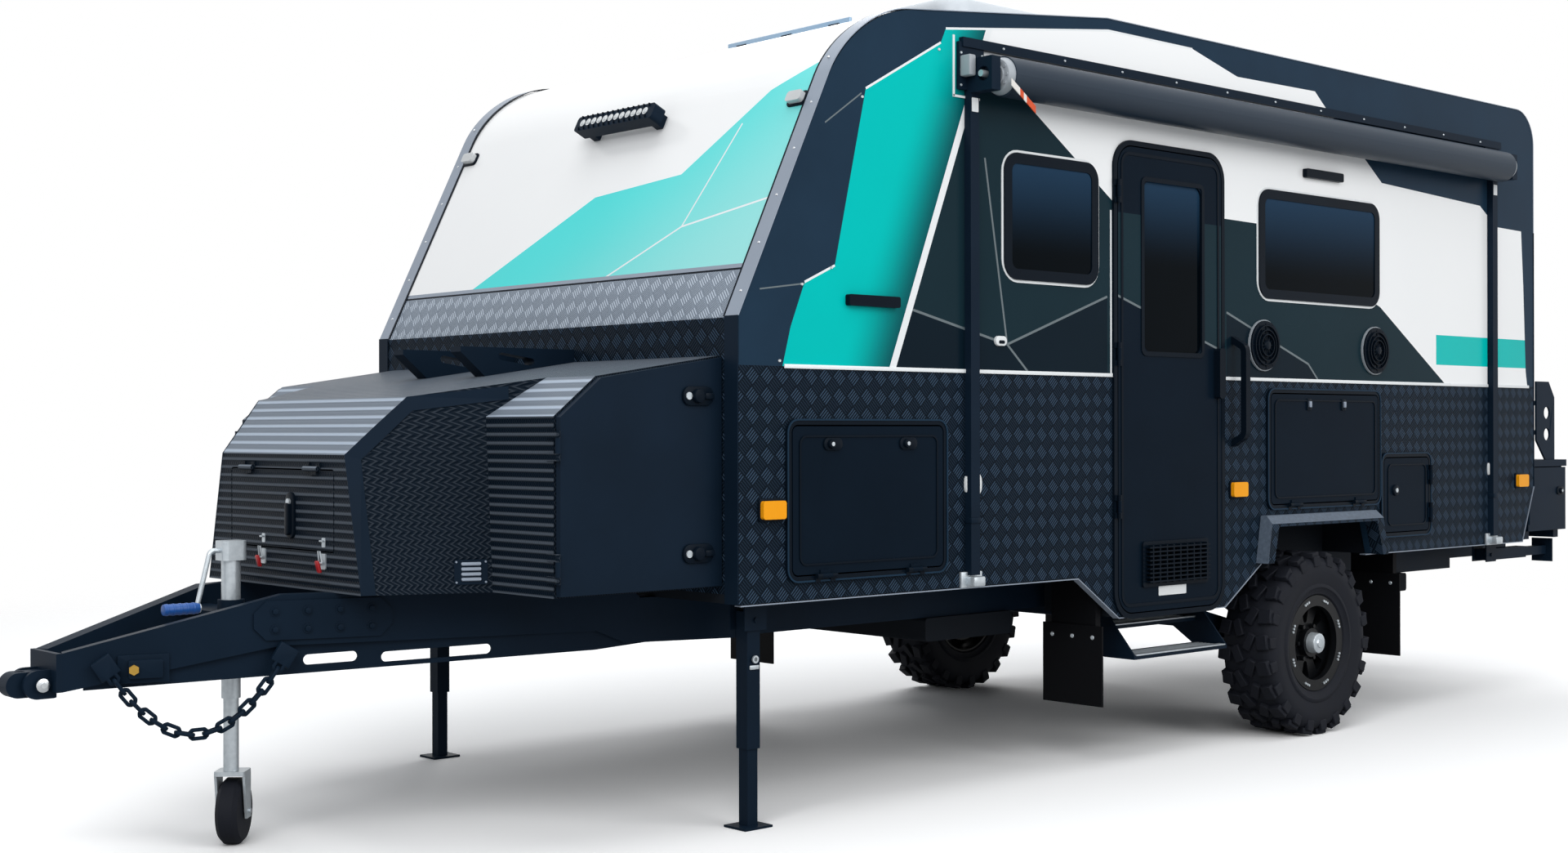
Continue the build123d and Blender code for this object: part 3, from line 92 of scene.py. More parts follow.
def treadRelief(tree, place):
    edge = 1 / treadPlate["diamond"]
    length = treadPlate["barLength"]
    slanted = {"operation": "DOT_PRODUCT", 0: place}
    rising = addNode(tree, "VectorMath", {**slanted, 1: (edge, edge, edge)}, "Value")
    falling = addNode(tree, "VectorMath", {**slanted, 1: (edge, edge, -edge)}, "Value")
    cell = addNode(tree, "CombineXYZ", {"X": rising, "Y": falling, "Z": 0.5})
    turned = addNode(tree, "TexChecker", {"Scale": 1.0, "Vector": cell}, "Fac")
    partRising = addNode(tree, "Math", {"operation": "FRACT", 0: rising})
    partFalling = addNode(tree, "Math", {"operation": "FRACT", 0: falling})
    across = addNode(tree, "Mix", {"data_type": "FLOAT", 0: turned, 2: partRising, 3: partFalling})
    along = addNode(tree, "Mix", {"data_type": "FLOAT", 0: turned, 2: partFalling, 3: partRising})
    phase = addNode(tree, "Math", {"operation": "MULTIPLY", 0: across, 1: 2 * pi * treadPlate["bars"]})
    wave = addNode(tree, "Math", {"operation": "COSINE", 0: phase})
    bar = addNode(tree, "MapRange", {"Value": wave, "From Min": 0.35, "From Max": -0.55})
    offset = addNode(tree, "Math", {"operation": "SUBTRACT", 0: along, 1: 0.5})
    reach = addNode(tree, "Math", {"operation": "ABSOLUTE", 0: offset})
    ends = addNode(tree, "MapRange", {"Value": reach, "From Min": length + 0.04, "From Max": length - 0.06})
    height = addNode(tree, "Math", {"operation": "MULTIPLY", 0: bar, 1: ends})
    # painted reflection: the bars turned one way keep the full painted highlight, the others a dim share
    share = addNode(tree, "MapRange", {"Value": turned, "To Min": 1.0, "To Max": treadPlate["dim"]})
    return height, addNode(tree, "Math", {"operation": "MULTIPLY", 0: height, 1: share})


# Folded rib sheet: narrow level crests with a fine herringbone pressed across them; on the leaning cheeks
# only the herringbone shows. The crests carry a painted highlight, and the sloped lid and the top a painted
# sky reflection
ribSheet = dict(
    pitch=0.0275, chevron=0.010, fine=0.14, wallSheen=0.17, lidSheen=0.42, topSheen=0.22, cheekSheen=0.06
)


def ribRelief(tree, place):
    normal = addNode(tree, "TexCoord", {}, "Normal")
    sideways = addNode(tree, "SeparateXYZ", {0: normal}, "Y")
    rise = addNode(tree, "SeparateXYZ", {0: normal}, "Z")
    lean = addNode(tree, "Math", {"operation": "ABSOLUTE", 0: sideways})
    cheekShare = addNode(tree, "MapRange", {"Value": lean, "From Min": 0.25, "From Max": 0.5})
    lidShare = addNode(tree, "MapRange", {"Value": rise, "From Min": 0.3, "From Max": 0.5})
    topShare = addNode(tree, "MapRange", {"Value": rise, "From Min": 0.8, "From Max": 0.9})
    spotX = addNode(tree, "SeparateXYZ", {0: place}, "X")
    spotZ = addNode(tree, "SeparateXYZ", {0: place}, "Z")
    level = addNode(tree, "Mix", {"data_type": "FLOAT", 0: topShare, 2: spotZ, 3: spotX})
    turns = addNode(tree, "Math", {"operation": "DIVIDE", 0: level, 1: ribSheet["pitch"]})
    fold = addNode(tree, "Math", {"operation": "PINGPONG", 0: turns, 1: 0.5})
    limits = {"From Min": 0.2, "From Max": 0.42}
    crest = addNode(tree, "MapRange", {"interpolation_type": "SMOOTHSTEP", "Value": fold, **limits})
    slant = 2 * pi / ribSheet["chevron"]
    run = addNode(tree, "VectorMath", {"operation": "DOT_PRODUCT", 0: place, 1: (slant, slant, 0)}, "Value")
    skew = addNode(tree, "Math", {"operation": "MULTIPLY", 0: fold, 1: 4 * pi})
    zigzag = addNode(tree, "Math", {"operation": "ADD", 0: run, 1: skew})
    wave = addNode(tree, "Math", {"operation": "SINE", 0: zigzag})
    ribs = addNode(tree, "MapRange", {"Value": cheekShare, "To Min": 1.0, "To Max": 0.3})
    tall = addNode(tree, "Math", {"operation": "MULTIPLY", 0: crest, 1: ribs})
    fine = addNode(tree, "Math", {"operation": "MULTIPLY", 0: wave, 1: ribSheet["fine"]})
    height = addNode(tree, "Math", {"operation": "ADD", 0: tall, 1: fine})
    # painted highlight on the crests, raised on the sloped lid and the top as a painted sky reflection, and
    # faint painted glints on the cheeks' herringbone
    wall = addNode(tree, "MapRange", {"Value": crest, "To Max": ribSheet["wallSheen"]})
    lid = addNode(tree, "MapRange", {"Value": crest, "To Min": ribSheet["lidSheen"]})
    woven = addNode(tree, "MapRange", {"Value": wave, "From Min": 0.2, "To Max": ribSheet["cheekSheen"]})
    sloped = addNode(tree, "Mix", {"data_type": "FLOAT", 0: lidShare, 2: wall, 3: lid})
    upper = addNode(tree, "Mix", {"data_type": "FLOAT", 0: topShare, 2: sloped, 3: ribSheet["topSheen"]})
    return height, addNode(tree, "Mix", {"data_type": "FLOAT", 0: cheekShare, 2: upper, 3: woven})


# Every finish: two colours that drift over patchMm, a grain of grainMm, a pressed relief where it has one
def addFinish(
    name, dark, light, roughness, gloss=0.5, metal=0.0, clear=0.0, patchMm=300, grainMm=3.0, depthMm=0.04,
    relief=None, reliefMm=1.0, laidFlat=(1, 1, 1), highlightColour=None, fade=None,
):
    material = bpy.data.materials.new(name)
    material.use_nodes = True
    tree = material.node_tree
    sockets = tree.nodes["Principled BSDF"].inputs
    sockets["Specular IOR Level"].default_value = gloss
    sockets["Metallic"].default_value = metal
    sockets["Transmission Weight"].default_value = clear
    place = addNode(tree, "TexCoord", {}, "Object")
    drift = addNode(tree, "TexNoise", {"Scale": 1000 / patchMm, "Detail": 4.0, "Vector": place}, "Fac")
    shine = {"To Min": max(roughness - 0.07, 0.02), "To Max": roughness + 0.07}
    polish = addNode(tree, "MapRange", {"Value": drift, **shine})
    colour = addNode(tree, "Mix", {"data_type": "RGBA", 0: drift, 6: hexColour(dark), 7: hexColour(light)}, 2)
    if fade:  # a colour ramp along one direction: printed ink on the films, a painted sky reflection on the glass
        run = addNode(tree, "VectorMath", {"operation": "DOT_PRODUCT", 0: place, 1: fade["way"]}, "Value")
        limits = {"From Min": fade["start"], "From Max": fade["end"]}
        share = addNode(tree, "MapRange", {"interpolation_type": "SMOOTHSTEP", "Value": run, **limits})
        faded = hexColour(fade["colour"])
        colour = addNode(tree, "Mix", {"data_type": "RGBA", 0: share, 6: colour, 7: faded}, 2)
    grain = addNode(tree, "TexNoise", {"Scale": 1000 / grainMm, "Detail": 2.0, "Vector": place}, "Fac")
    bump = addNode(tree, "Bump", {"Strength": 0.35, "Distance": depthMm / 1000, "Height": grain})
    if relief:  # painted highlight on the high bars and crests, screened over the colour
        sheet = addNode(tree, "VectorMath", {"operation": "MULTIPLY", 0: place, 1: laidFlat})
        height, sheen = relief(tree, sheet)
        pressed = {"Strength": 1.0, "Distance": reliefMm / 1000, "Height": height, "Normal": bump}
        bump = addNode(tree, "Bump", pressed)
        highlighted = {"data_type": "RGBA", "blend_type": "SCREEN", 0: sheen, 6: colour, 7: hexColour(highlightColour)}
        colour = addNode(tree, "Mix", highlighted, 2)
    tree.links.new(polish, sockets["Roughness"])
    tree.links.new(colour, sockets["Base Color"])
    tree.links.new(bump, sockets["Normal"])
    return material


film = dict(patchMm=700, grainMm=12)
moulded = dict(grainMm=1.5, depthMm=0.03)
lens = dict(grainMm=5, depthMm=0.4)
finishes = {
    # polyester powder coat on steel: satin black with a fine orange peel
    "powderCoat": dict(
        dark="#0d1925", light="#152434", roughness=0.42, gloss=0.05, grainMm=2.5, depthMm=0.05
    ),
    # aluminium five-bar plate, powder coated black, with a painted highlight on the bars
    "treadBlack": dict(
        dark="#08121b", light="#0f1a25", roughness=0.36, gloss=0.035,
        relief=treadRelief, reliefMm=2.2, highlightColour="#36475a",
    ),
    # the same plate left bare, dulled by weather; its bars carry a painted highlight too
    "treadBare": dict(
        dark="#707d8c", light="#808c9b", roughness=0.42, metal=0.2,
        relief=treadRelief, reliefMm=1.8, laidFlat=(0, 1, 1.11), highlightColour="#a4b0bf",
    ),
    # the coated plate, mottled pale on the faces turned to the light: a painted highlight and sky reflection
    "scuffedPlate": dict(dark="#3a4654", light="#6b798a", roughness=0.5, patchMm=14, grainMm=6, depthMm=0.2),
    # rib-folded aluminium sheet, powder coated black, with a painted highlight on the crests and a painted
    # sky reflection on the lid
    "ribBlack": dict(
        dark="#09131d", light="#0f1b27", roughness=0.34, gloss=0.035,
        relief=ribRelief, reliefMm=5.0, highlightColour="#b2bfcf",
    ),
    # gloss gelcoat on fibreglass skin
    "gelWhite": dict(dark="#f6f8f9", light="#fdfefe", roughness=0.22, patchMm=900, grainMm=14, depthMm=0.05),
    # printed vinyl film under a gloss laminate
    "filmTeal": dict(
        film, dark="#00bab5", light="#00c9c2", roughness=0.24, gloss=0.04,
        fade=dict(way=(0.9271, 0.0, 0.3747), start=1.919, end=1.659, colour="#0a4f55"),
    ),
    "filmTealBar": dict(film, dark="#00bab5", light="#00c9c2", roughness=0.24, gloss=0.1),
    "filmAqua": dict(
        dark="#30dcda", light="#48e7e5", roughness=0.24, gloss=0.3, patchMm=900, grainMm=12,
        fade=dict(way=(0.0, 0.62, -0.78), start=-1.75, end=-0.80, colour="#9ce6e3"),
    ),
    "filmCharcoal": dict(film, dark="#13272f", light="#1b313a", roughness=0.26, gloss=0.04),
    "filmDeep": dict(film, dark="#0a1822", light="#0f202b", roughness=0.26, gloss=0.04),
    "filmLine": dict(dark="#59656a", light="#667277", roughness=0.3, patchMm=700),
    "filmWhite": dict(dark="#e9edef", light="#f2f5f6", roughness=0.26, patchMm=700),
    # composite edge cover, satin blue-black
    "edgeCover": dict(dark="#182b3c", light="#21384c", roughness=0.34, gloss=0.05, grainMm=6),
    # extruded aluminium corner mould, anodised grey: drawn along its length
    "cornerMould": dict(dark="#828d9c", light="#98a3b2", roughness=0.38, metal=0.25, grainMm=2, depthMm=0.03),
    # moulded ABS window and hatch frames
    "frameBlack": dict(moulded, dark="#08111a", light="#0e1823", roughness=0.3, gloss=0.05),
    # hatch and door leaves: black painted composite skin
    "leafBlack": dict(dark="#0a1520", light="#0f1c29", roughness=0.3, gloss=0.025, grainMm=8),
    # dark tinted acrylic, cast flat: nearly black, paler towards the top as a painted sky reflection
    "tintedGlass": dict(
        dark="#02070b", light="#050c13", roughness=0.05, gloss=0.025, grainMm=60, depthMm=0.03,
        fade=dict(way=(0.0, 0.0, 1.0), start=1.95, end=2.40, colour="#24405a"),
    ),
    # moulded tyre rubber, dusty matt
    "tyreRubber": dict(
        dark="#0e1118", light="#191c25", roughness=0.72, gloss=0.2, patchMm=90, grainMm=1.6, depthMm=0.12
    ),
    "flapRubber": dict(dark="#06070a", light="#0b0c10", roughness=0.66, gloss=0.1, grainMm=4, depthMm=0.1),
    # cast alloy wheel, satin black
    "alloyBlack": dict(dark="#0a0b0d", light="#121417", roughness=0.32, gloss=0.2, depthMm=0.03),
    # zinc plated steel: bright with cloudy crystals
    "zincPlate": dict(dark="#a9b3ba", light="#d6dde2", roughness=0.34, metal=0.55, patchMm=18, depthMm=0.03),
    # the same plating, passivated yellow
    "yellowZinc": dict(dark="#a8843a", light="#c6a04c", roughness=0.34, metal=0.85, patchMm=14, depthMm=0.03),
    # turned stainless caps and screw heads
    "brightSteel": dict(dark="#c3c8cc", light="#dfe3e6", roughness=0.2, metal=1.0, patchMm=20),
    # vinyl cloth of the awning, wound tight: satin with a fine weave
    "awningVinyl": dict(
        dark="#1c2937", light="#263442", roughness=0.4, gloss=0.2, patchMm=500, grainMm=1.8, depthMm=0.1
    ),
    # injection moulded plastics with a fine tool grain
    "greyPlastic": dict(moulded, dark="#8d949b", light="#a6adb3", roughness=0.42),
    "whitePlastic": dict(moulded, dark="#dfe3e5", light="#eceff0", roughness=0.38),
    "coolerShell": dict(moulded, dark="#b9c0c7", light="#cbd1d6", roughness=0.4, patchMm=600),
    "bluePlastic": dict(dark="#144a94", light="#1f5dab", roughness=0.4, grainMm=2, depthMm=0.05),
    "redPlastic": dict(dark="#a5161b", light="#c0242a", roughness=0.35, grainMm=2, depthMm=0.03),
    # woven webbing strap, dyed in bands
    "strapOrange": dict(dark="#c8441c", light="#dd5a2c", roughness=0.7, patchMm=20, grainMm=1, depthMm=0.1),
    "strapWhite": dict(dark="#dcd9d4", light="#ebe8e3", roughness=0.7, patchMm=20, grainMm=1, depthMm=0.1),
    # moulded polycarbonate lamp lenses
    "amberLens": dict(lens, dark="#f79a04", light="#ffb020", roughness=0.18, gloss=0.12),
    "clearLens": dict(dark="#e6ebee", light="#f7fafb", roughness=0.12, clear=0.35, grainMm=5, depthMm=0.3),
    "redLens": dict(lens, dark="#8f0d12", light="#b3161b", roughness=0.18, clear=0.2),
    # anodised aluminium frame, coloured pale blue as a painted reflection of the sky
    "railBlue": dict(dark="#85a3bf", light="#9db8cf", roughness=0.36, metal=0.3, grainMm=2, depthMm=0.02),
    # silicon cells under glass
    "solarCell": dict(dark="#0a1228", light="#101c38", roughness=0.12, patchMm=160),
    # plywood floor sealed with bitumen, and the plain inner lining
    "sealedFloor": dict(dark="#10151b", light="#181d24", roughness=0.7, gloss=0.1, grainMm=5, depthMm=0.2),
    "liningBoard": dict(dark="#c9ccc9", light="#d6d8d4", roughness=0.6, grainMm=5, depthMm=0.05),
}
materials = {name: addFinish(name, **look) for name, look in finishes.items()}
print("materials:", len(materials))


# Mesh tools


def nodeShape(name):
    shape = bmesh.new()
    shape.from_mesh(nodes[name].data)
    bmesh.ops.remove_doubles(shape, verts=shape.verts, dist=0.00002)
    return shape


def linkPiece(name, shape, finishNames, body):
    mesh = bpy.data.meshes.new(name)
    shape.to_mesh(mesh)
    shape.free()
    for finish in finishNames:
        mesh.materials.append(materials[finish])
    piece = bpy.data.objects.new(name, mesh)
    scene.collection.objects.link(piece)
    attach(piece, body)
    return piece


def smoothMesh(mesh, sharpAngle):
    mesh.polygons.foreach_set("use_smooth", [True] * len(mesh.polygons))
    mesh.set_sharp_from_angle(angle=radians(sharpAngle))


def addPiece(name, shape, finishNames, body="van", sharpAngle=32):
    bmesh.ops.recalc_face_normals(shape, faces=shape.faces)
    piece = linkPiece(name, shape, finishNames, body)
    smoothMesh(piece.data, sharpAngle)
    return piece


def facing(place, outward):
    z = Vector(outward).normalized()
    x = Vector((0, 0, 1)).cross(z).normalized()
    turn = Matrix((x, z.cross(x), z)).transposed().to_4x4()
    turn.translation = place
    return turn


def onSide(x, y, z, side=1):
    return facing(at(x, side * y, z), (0, side, 0))


def spoke(angle):
    return Vector((cos(angle), 0, sin(angle)))


def pairs(path):
    return zip(path, path[1:])


def setFinish(faces, index):
    for face in faces:
        face.material_index = index


def roundEdges(shape, edges, size, segments=2):
    bmesh.ops.bevel(
        shape, geom=list(edges), offset=size, segments=segments, profile=0.5, affect="EDGES", material=-1
    )


def newVerts(made):
    return [v for v in made["geom"] if isinstance(v, bmesh.types.BMVert)]


def lift(shape, made, way):
    bmesh.ops.translate(shape, vec=way, verts=newVerts(made))


def addBlock(shape, corner, size, bevel=0.0, finish=0, turn=None):
    size = Vector(size)
    before = set(shape.faces)
    matrix = Matrix.LocRotScale(corner + size / 2, turn, Vector([abs(s) for s in size]))
    made = bmesh.ops.create_cube(shape, size=1, matrix=matrix)
    if bevel:
        roundEdges(shape, {e for v in made["verts"] for e in v.link_edges}, bevel)
    setFinish(set(shape.faces) - before, finish)


def addRod(shape, start, way, radius, endRadius=None, segments=20, bevel=0.0, finish=0):
    way = Vector(way)
    before = set(shape.faces)
    matrix = Matrix.Translation(start + way / 2) @ way.to_track_quat("Z", "Y").to_matrix().to_4x4()
    made = bmesh.ops.create_cone(
        shape, cap_ends=True, segments=segments, radius1=radius, radius2=endRadius or radius,
        depth=way.length, matrix=matrix,
    )
    if bevel:
        edges = {e for v in made["verts"] for e in v.link_edges}
        roundEdges(shape, [e for e in edges if any(len(f.verts) > 4 for f in e.link_faces)], bevel)
    setFinish(set(shape.faces) - before, finish)


def roundedFace(shape, matrix, width, height, corner):
    spots = [(-0.5, -0.5), (0.5, -0.5), (0.5, 0.5), (-0.5, 0.5)]
    verts = [shape.verts.new(matrix @ Vector((width * x, height * y, 0))) for x, y in spots]
    shape.faces.new(verts)
    made = bmesh.ops.bevel(
        shape, geom=verts, offset=corner, segments=6, profile=0.5, affect="VERTICES", material=-1
    )
    return [f for f in shape.faces if set(made["verts"]) <= set(f.verts)][0]


def addPlate(shape, matrix, width, height, thick, corner, bevel=0.0, finish=0):
    before = set(shape.faces)
    face = roundedFace(shape, matrix, width, height, corner)
    made = bmesh.ops.extrude_face_region(shape, geom=[face])
    lift(shape, made, matrix.to_3x3() @ Vector((0, 0, thick)))
    if bevel:
        roundEdges(shape, [e for e in made["geom"] if isinstance(e, bmesh.types.BMEdge)], bevel)
    setFinish(set(shape.faces) - before, finish)


def addRing(shape, matrix, width, height, thick, corner, border):
    face = roundedFace(shape, matrix, width, height, corner)
    rim = bmesh.ops.inset_region(
        shape, faces=[face], thickness=border, use_even_offset=True, use_boundary=True
    )
    bmesh.ops.delete(shape, geom=[face], context="FACES")
    made = bmesh.ops.extrude_face_region(shape, geom=rim["faces"])
    lift(shape, made, matrix.to_3x3() @ Vector((0, 0, thick)))


# A ring round an opening; span is low x, high x, bottom, top
def addSpanRing(shape, span, y, side, grow, thick, corner, border):
    low, high, bottom, top = span
    place = onSide((low + high) / 2, y, (bottom + top) / 2, side)
    addRing(shape, place, high - low + 2 * grow, top - bottom + 2 * grow, thick, corner, border)


def addPatch(shape, corners, outward, thick, finish=0):
    before = set(shape.faces)
    face = shape.faces.new([shape.verts.new(corner) for corner in corners])
    lift(shape, bmesh.ops.extrude_face_region(shape, geom=[face]), Vector(outward).normalized() * thick)
    setFinish(set(shape.faces) - before, finish)


# A strip along a side's outline: run holds its (x, z) corners, rounds the radius at some of them
def addPathStrip(shape, run, rounds, side, out, width, thick, finish=0):
    before = set(shape.faces)
    verts = [shape.verts.new(at(x, side * (wallY + out), z)) for x, z in run]
    for pair in pairs(verts):
        shape.edges.new(pair)
    for number, size in rounds.items():
        bmesh.ops.bevel(
            shape, geom=[verts[number]], offset=size, segments=14, profile=0.5, affect="VERTICES", material=-1
        )
    made = bmesh.ops.extrude_edge_only(shape, edges=[e for e in shape.edges if e.is_wire])
    lift(shape, made, (0, -side * width, 0))
    faces = [f for f in shape.faces if f not in before]
    bmesh.ops.recalc_face_normals(shape, faces=faces)
    bmesh.ops.solidify(shape, geom=faces, thickness=thick)
    setFinish(set(shape.faces) - before, finish)


screwHead = dict(height=0.003, taper=0.75, segments=10)


def addScrews(shape, places, outward, radius, finish=0):
    way = Vector(outward).normalized() * screwHead["height"]
    for place in places:
        addRod(shape, place, way, radius, radius * screwHead["taper"], screwHead["segments"], finish=finish)


# Painted copies of the body panels: the skin is cut along each colour edge

paintLimits = dict(outward=0.15, crown=0.3, cut=0.00001, sharpAngle=25)


def insidePolygon(point, corners):
    signs = []
    for one, two in pairs(corners + corners[:1]):
        signs.append((two[0] - one[0]) * (point[1] - one[1]) - (two[1] - one[1]) * (point[0] - one[0]))
    return all(s >= 0 for s in signs) or all(s <= 0 for s in signs)


def stripe(one, two, width):
    start = Vector(one)
    end = Vector(two)
    way = (end - start).normalized()
    side = Vector((-way.y, way.x)) * width / 2
    return [tuple(start + side), tuple(end + side), tuple(end - side), tuple(start - side)]


def rectangle(low, high, bottom, top):
    return [(low, bottom), (high, bottom), (high, top), (low, top)]


def addPainted(name, node, base, lining, areas, outward, body="van", curved=False):
    shape = nodeShape(node)
    names = [base, lining]
    depth = Vector(outward)
    across = 0 if abs(depth.y) > 0.5 else 1  # flat coordinate beside z
    origin = at(0, 0, 0)[across]
    for face in shape.faces:
        face.normal_update()
        overCrown = curved and face.normal.z > paintLimits["crown"]
        painted = overCrown or face.normal.dot(depth) > paintLimits["outward"]
        face.material_index = 0 if painted else 1
    for finish, corners in areas:
        if finish not in names:
            names.append(finish)
        spots = []
        for u, z in corners:
            spot = Vector((0, 0, z))
            spot[across] = u + origin
            spots.append(spot)
        flat = [(spot[across], spot.z) for spot in spots]
        lowU, lowZ = [min(values) for values in zip(*flat)]
        highU, highZ = [max(values) for values in zip(*flat)]
        for one, two in pairs(spots + spots[:1]):
            near = []
            for face in shape.faces:
                us = [v.co[across] for v in face.verts]
                zs = [v.co.z for v in face.verts]
                overlap = max(us) > lowU and min(us) < highU and max(zs) > lowZ and min(zs) < highZ
                if overlap and face.normal.dot(depth) > paintLimits["outward"]:
                    near.append(face)
            edges = {e for f in near for e in f.edges}
            verts = {v for f in near for v in f.verts}
            bmesh.ops.bisect_plane(
                shape, geom=near + list(edges) + list(verts), dist=paintLimits["cut"], plane_co=one,
                plane_no=(two - one).cross(depth),
            )
        for face in shape.faces:
            middle = face.calc_center_median()
            outside = face.normal.dot(depth) > paintLimits["outward"]
            if outside and insidePolygon((middle[across], middle.z), flat):
                face.material_index = names.index(finish)
    piece = linkPiece(name, shape, names, body)
    if curved:
        smoothMesh(piece.data, paintLimits["sharpAngle"])
    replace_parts(piece, node)


# Side walls: plate below the belt, colour fields above it
sidePaint = dict(
    bandEdge=[
        (3.086, beltZ), (3.05, 1.658), (2.987, 1.808), (2.849, 1.87), (2.702, 2.481), (2.33, 2.686),
        (2.304, 2.739),
    ],
    topEdge=[
        (2.304, 2.739), (1.39, 2.856), (0.85, 2.855), (0.541, 2.78), (-0.035, 2.786), (-0.144, 2.705),
        (-0.427, 2.534), (-0.577, 2.433), (-1.462, 2.397), (-1.621, 2.305), (-1.87, 2.3),
    ],
    rearEdge=[(-1.87, 2.3), (-1.891, 2.03), (-1.914, 1.603), (-1.93, beltZ)],
    fieldEdge=[(2.112, 2.677), (1.362, 2.198), (0.396, 2.181), (-0.561, 1.87), (-1.136, beltZ)],
    slashTop=(2.072, 2.775), slashLow=(2.576, beltZ), slashWidth=0.03,
    facets=[
        [(2.576, beltZ), (2.49, 1.74), (1.98, 1.63), (1.86, beltZ)],
        [(1.86, beltZ), (1.98, 1.63), (1.40, 1.83), (1.40, beltZ)],
        [(0.62, beltZ), (0.62, 1.80), (0.02, 1.60), (-0.06, beltZ)],
    ],
    facetLines=[
        [(2.49, 1.74), (1.98, 1.63), (1.40, 1.83)], [(1.98, 1.63), (2.10, 2.30)],
        [(0.62, 1.80), (0.02, 1.60), (-0.06, beltZ)], [(1.98, 1.63), (1.86, beltZ)],
    ],
    bandSeams=[[(2.722, 2.463), (2.893, 2.345)], [(2.987, 1.803), (3.185, 1.776)]],
    tealBar=[(-1.05, 1.62), (-2.2, 1.62), (-2.2, 1.76), (-1.05, 1.76)],
    facetLine=0.009, edgeLine=0.008, seamLine=0.005, outside=3.5, roofOver=3.0,
)


def sideAreas():
    paint = sidePaint
    far, high = paint["outside"], paint["roofOver"]
    areas = [("treadBlack", rectangle(-far, far, 0, beltZ))]
    areas.append(("filmTeal", [paint["slashTop"], paint["slashLow"], (far, beltZ), (far, high)]))
    low = paint["slashLow"]
    for one, two in pairs(paint["fieldEdge"]):
        areas.append(("filmCharcoal", [low, one, two, (two[0], beltZ)]))
        low = (two[0], beltZ)
    areas += [("filmDeep", facet) for facet in paint["facets"]]

    def addLines(finish, paths, width):
        for path in paths:
            areas.extend((finish, stripe(one, two, width)) for one, two in pairs(path))

    addLines("filmLine", paint["facetLines"], paint["facetLine"])
    areas.append(("filmTealBar", paint["tealBar"]))
    addLines("filmWhite", [[paint["slashTop"], paint["slashLow"]]], paint["slashWidth"])
    band = paint["bandEdge"]
    for one, two in pairs(band):
        areas.append(("edgeCover", [one, two, (far, two[1]), (far, one[1])]))
    knee, bend, top = band[4:]
    areas.append(("edgeCover", [bend, top, (top[0], high), (far, high), (far, knee[1]), knee]))
    for one, two in pairs(paint["topEdge"]):
        areas.append(("edgeCover", [one, two, (two[0], high), (one[0], high)]))
    rearX, rearZ = paint["rearEdge"][0]
    areas.append(("edgeCover", [(rearX, rearZ), (-far, rearZ), (-far, high), (rearX, high)]))
    for one, two in pairs(paint["rearEdge"]):
        areas.append(("edgeCover", [one, two, (-far, two[1]), (-far, one[1])]))
    addLines("filmWhite", [band[2:4], band[4:6], paint["topEdge"][:3]], paint["edgeLine"])
    addLines("filmLine", paint["bandSeams"], paint["seamLine"])
    return areas


addPainted("paintedWallLeft", "wall_left", "gelWhite", "edgeCover", sideAreas(), (0, 1, 0))
addPainted("paintedWallRight", "wall_right", "gelWhite", "edgeCover", sideAreas(), (0, -1, 0))

# Front: plate to the knee, a bare plate strip, then the raked gelcoat panel with its teal field
frontPaint = dict(
    stripLow=1.683, stripHigh=1.843, half=1.3,
    stripTrim=[("frameBlack", 1.843, 1.850), ("cornerMould", 1.850, 1.864)],
    fieldEdge=[(-0.57, 1.862), (0.02, 2.18), (0.50, 2.22), (0.83, 2.49), (1.16, 2.62)],
    lines=[[(0.25, 1.843), (0.62, 2.02), (1.12, 2.10)], [(0.62, 2.02), (0.74, 2.38)]], lineWidth=0.007,
)


def frontAreas():
    paint = frontPaint
    low, high, half = paint["stripLow"], paint["stripHigh"], paint["half"]
    areas = [("treadBlack", rectangle(-half, half, 0, low)), ("treadBare", rectangle(-half, half, low, high))]
    for one, two in pairs(paint["fieldEdge"]):
        areas.append(("filmAqua", [(one[0], high), one, two, (two[0], high)]))
    for path in paint["lines"]:
        areas += [("filmWhite", stripe(one, two, paint["lineWidth"])) for one, two in pairs(path)]
    for finish, bottom, top in paint["stripTrim"]:
        areas.append((finish, rectangle(-half, half, bottom, top)))
    return areas


addPainted("paintedFront", "wall_front", "gelWhite", "liningBoard", frontAreas(), (1, 0, 0), curved=True)
rearPaint = dict(half=1.3, plateZ=1.2)
rearAreas = [("treadBlack", rectangle(-rearPaint["half"], rearPaint["half"], 0, rearPaint["plateZ"]))]
addPainted("paintedRear", "wall_rear", "gelWhite", "liningBoard", rearAreas, (-1, 0, 0), curved=True)

# Entry door: black leaf with a lighter facet beside the glass
doorPaint = dict(facet=[(0.60, 1.62), (1.36, 1.84), (1.36, 2.16), (0.60, 2.15)], line=0.009)
doorAreas = [
    ("filmCharcoal", doorPaint["facet"]),
    ("filmLine", stripe(doorPaint["facet"][0], doorPaint["facet"][1], doorPaint["line"])),
]
addPainted("paintedDoor", "entry_door", "leafBlack", "frameBlack", doorAreas, (0, 1, 0), body="entry_door")
print("walls painted")

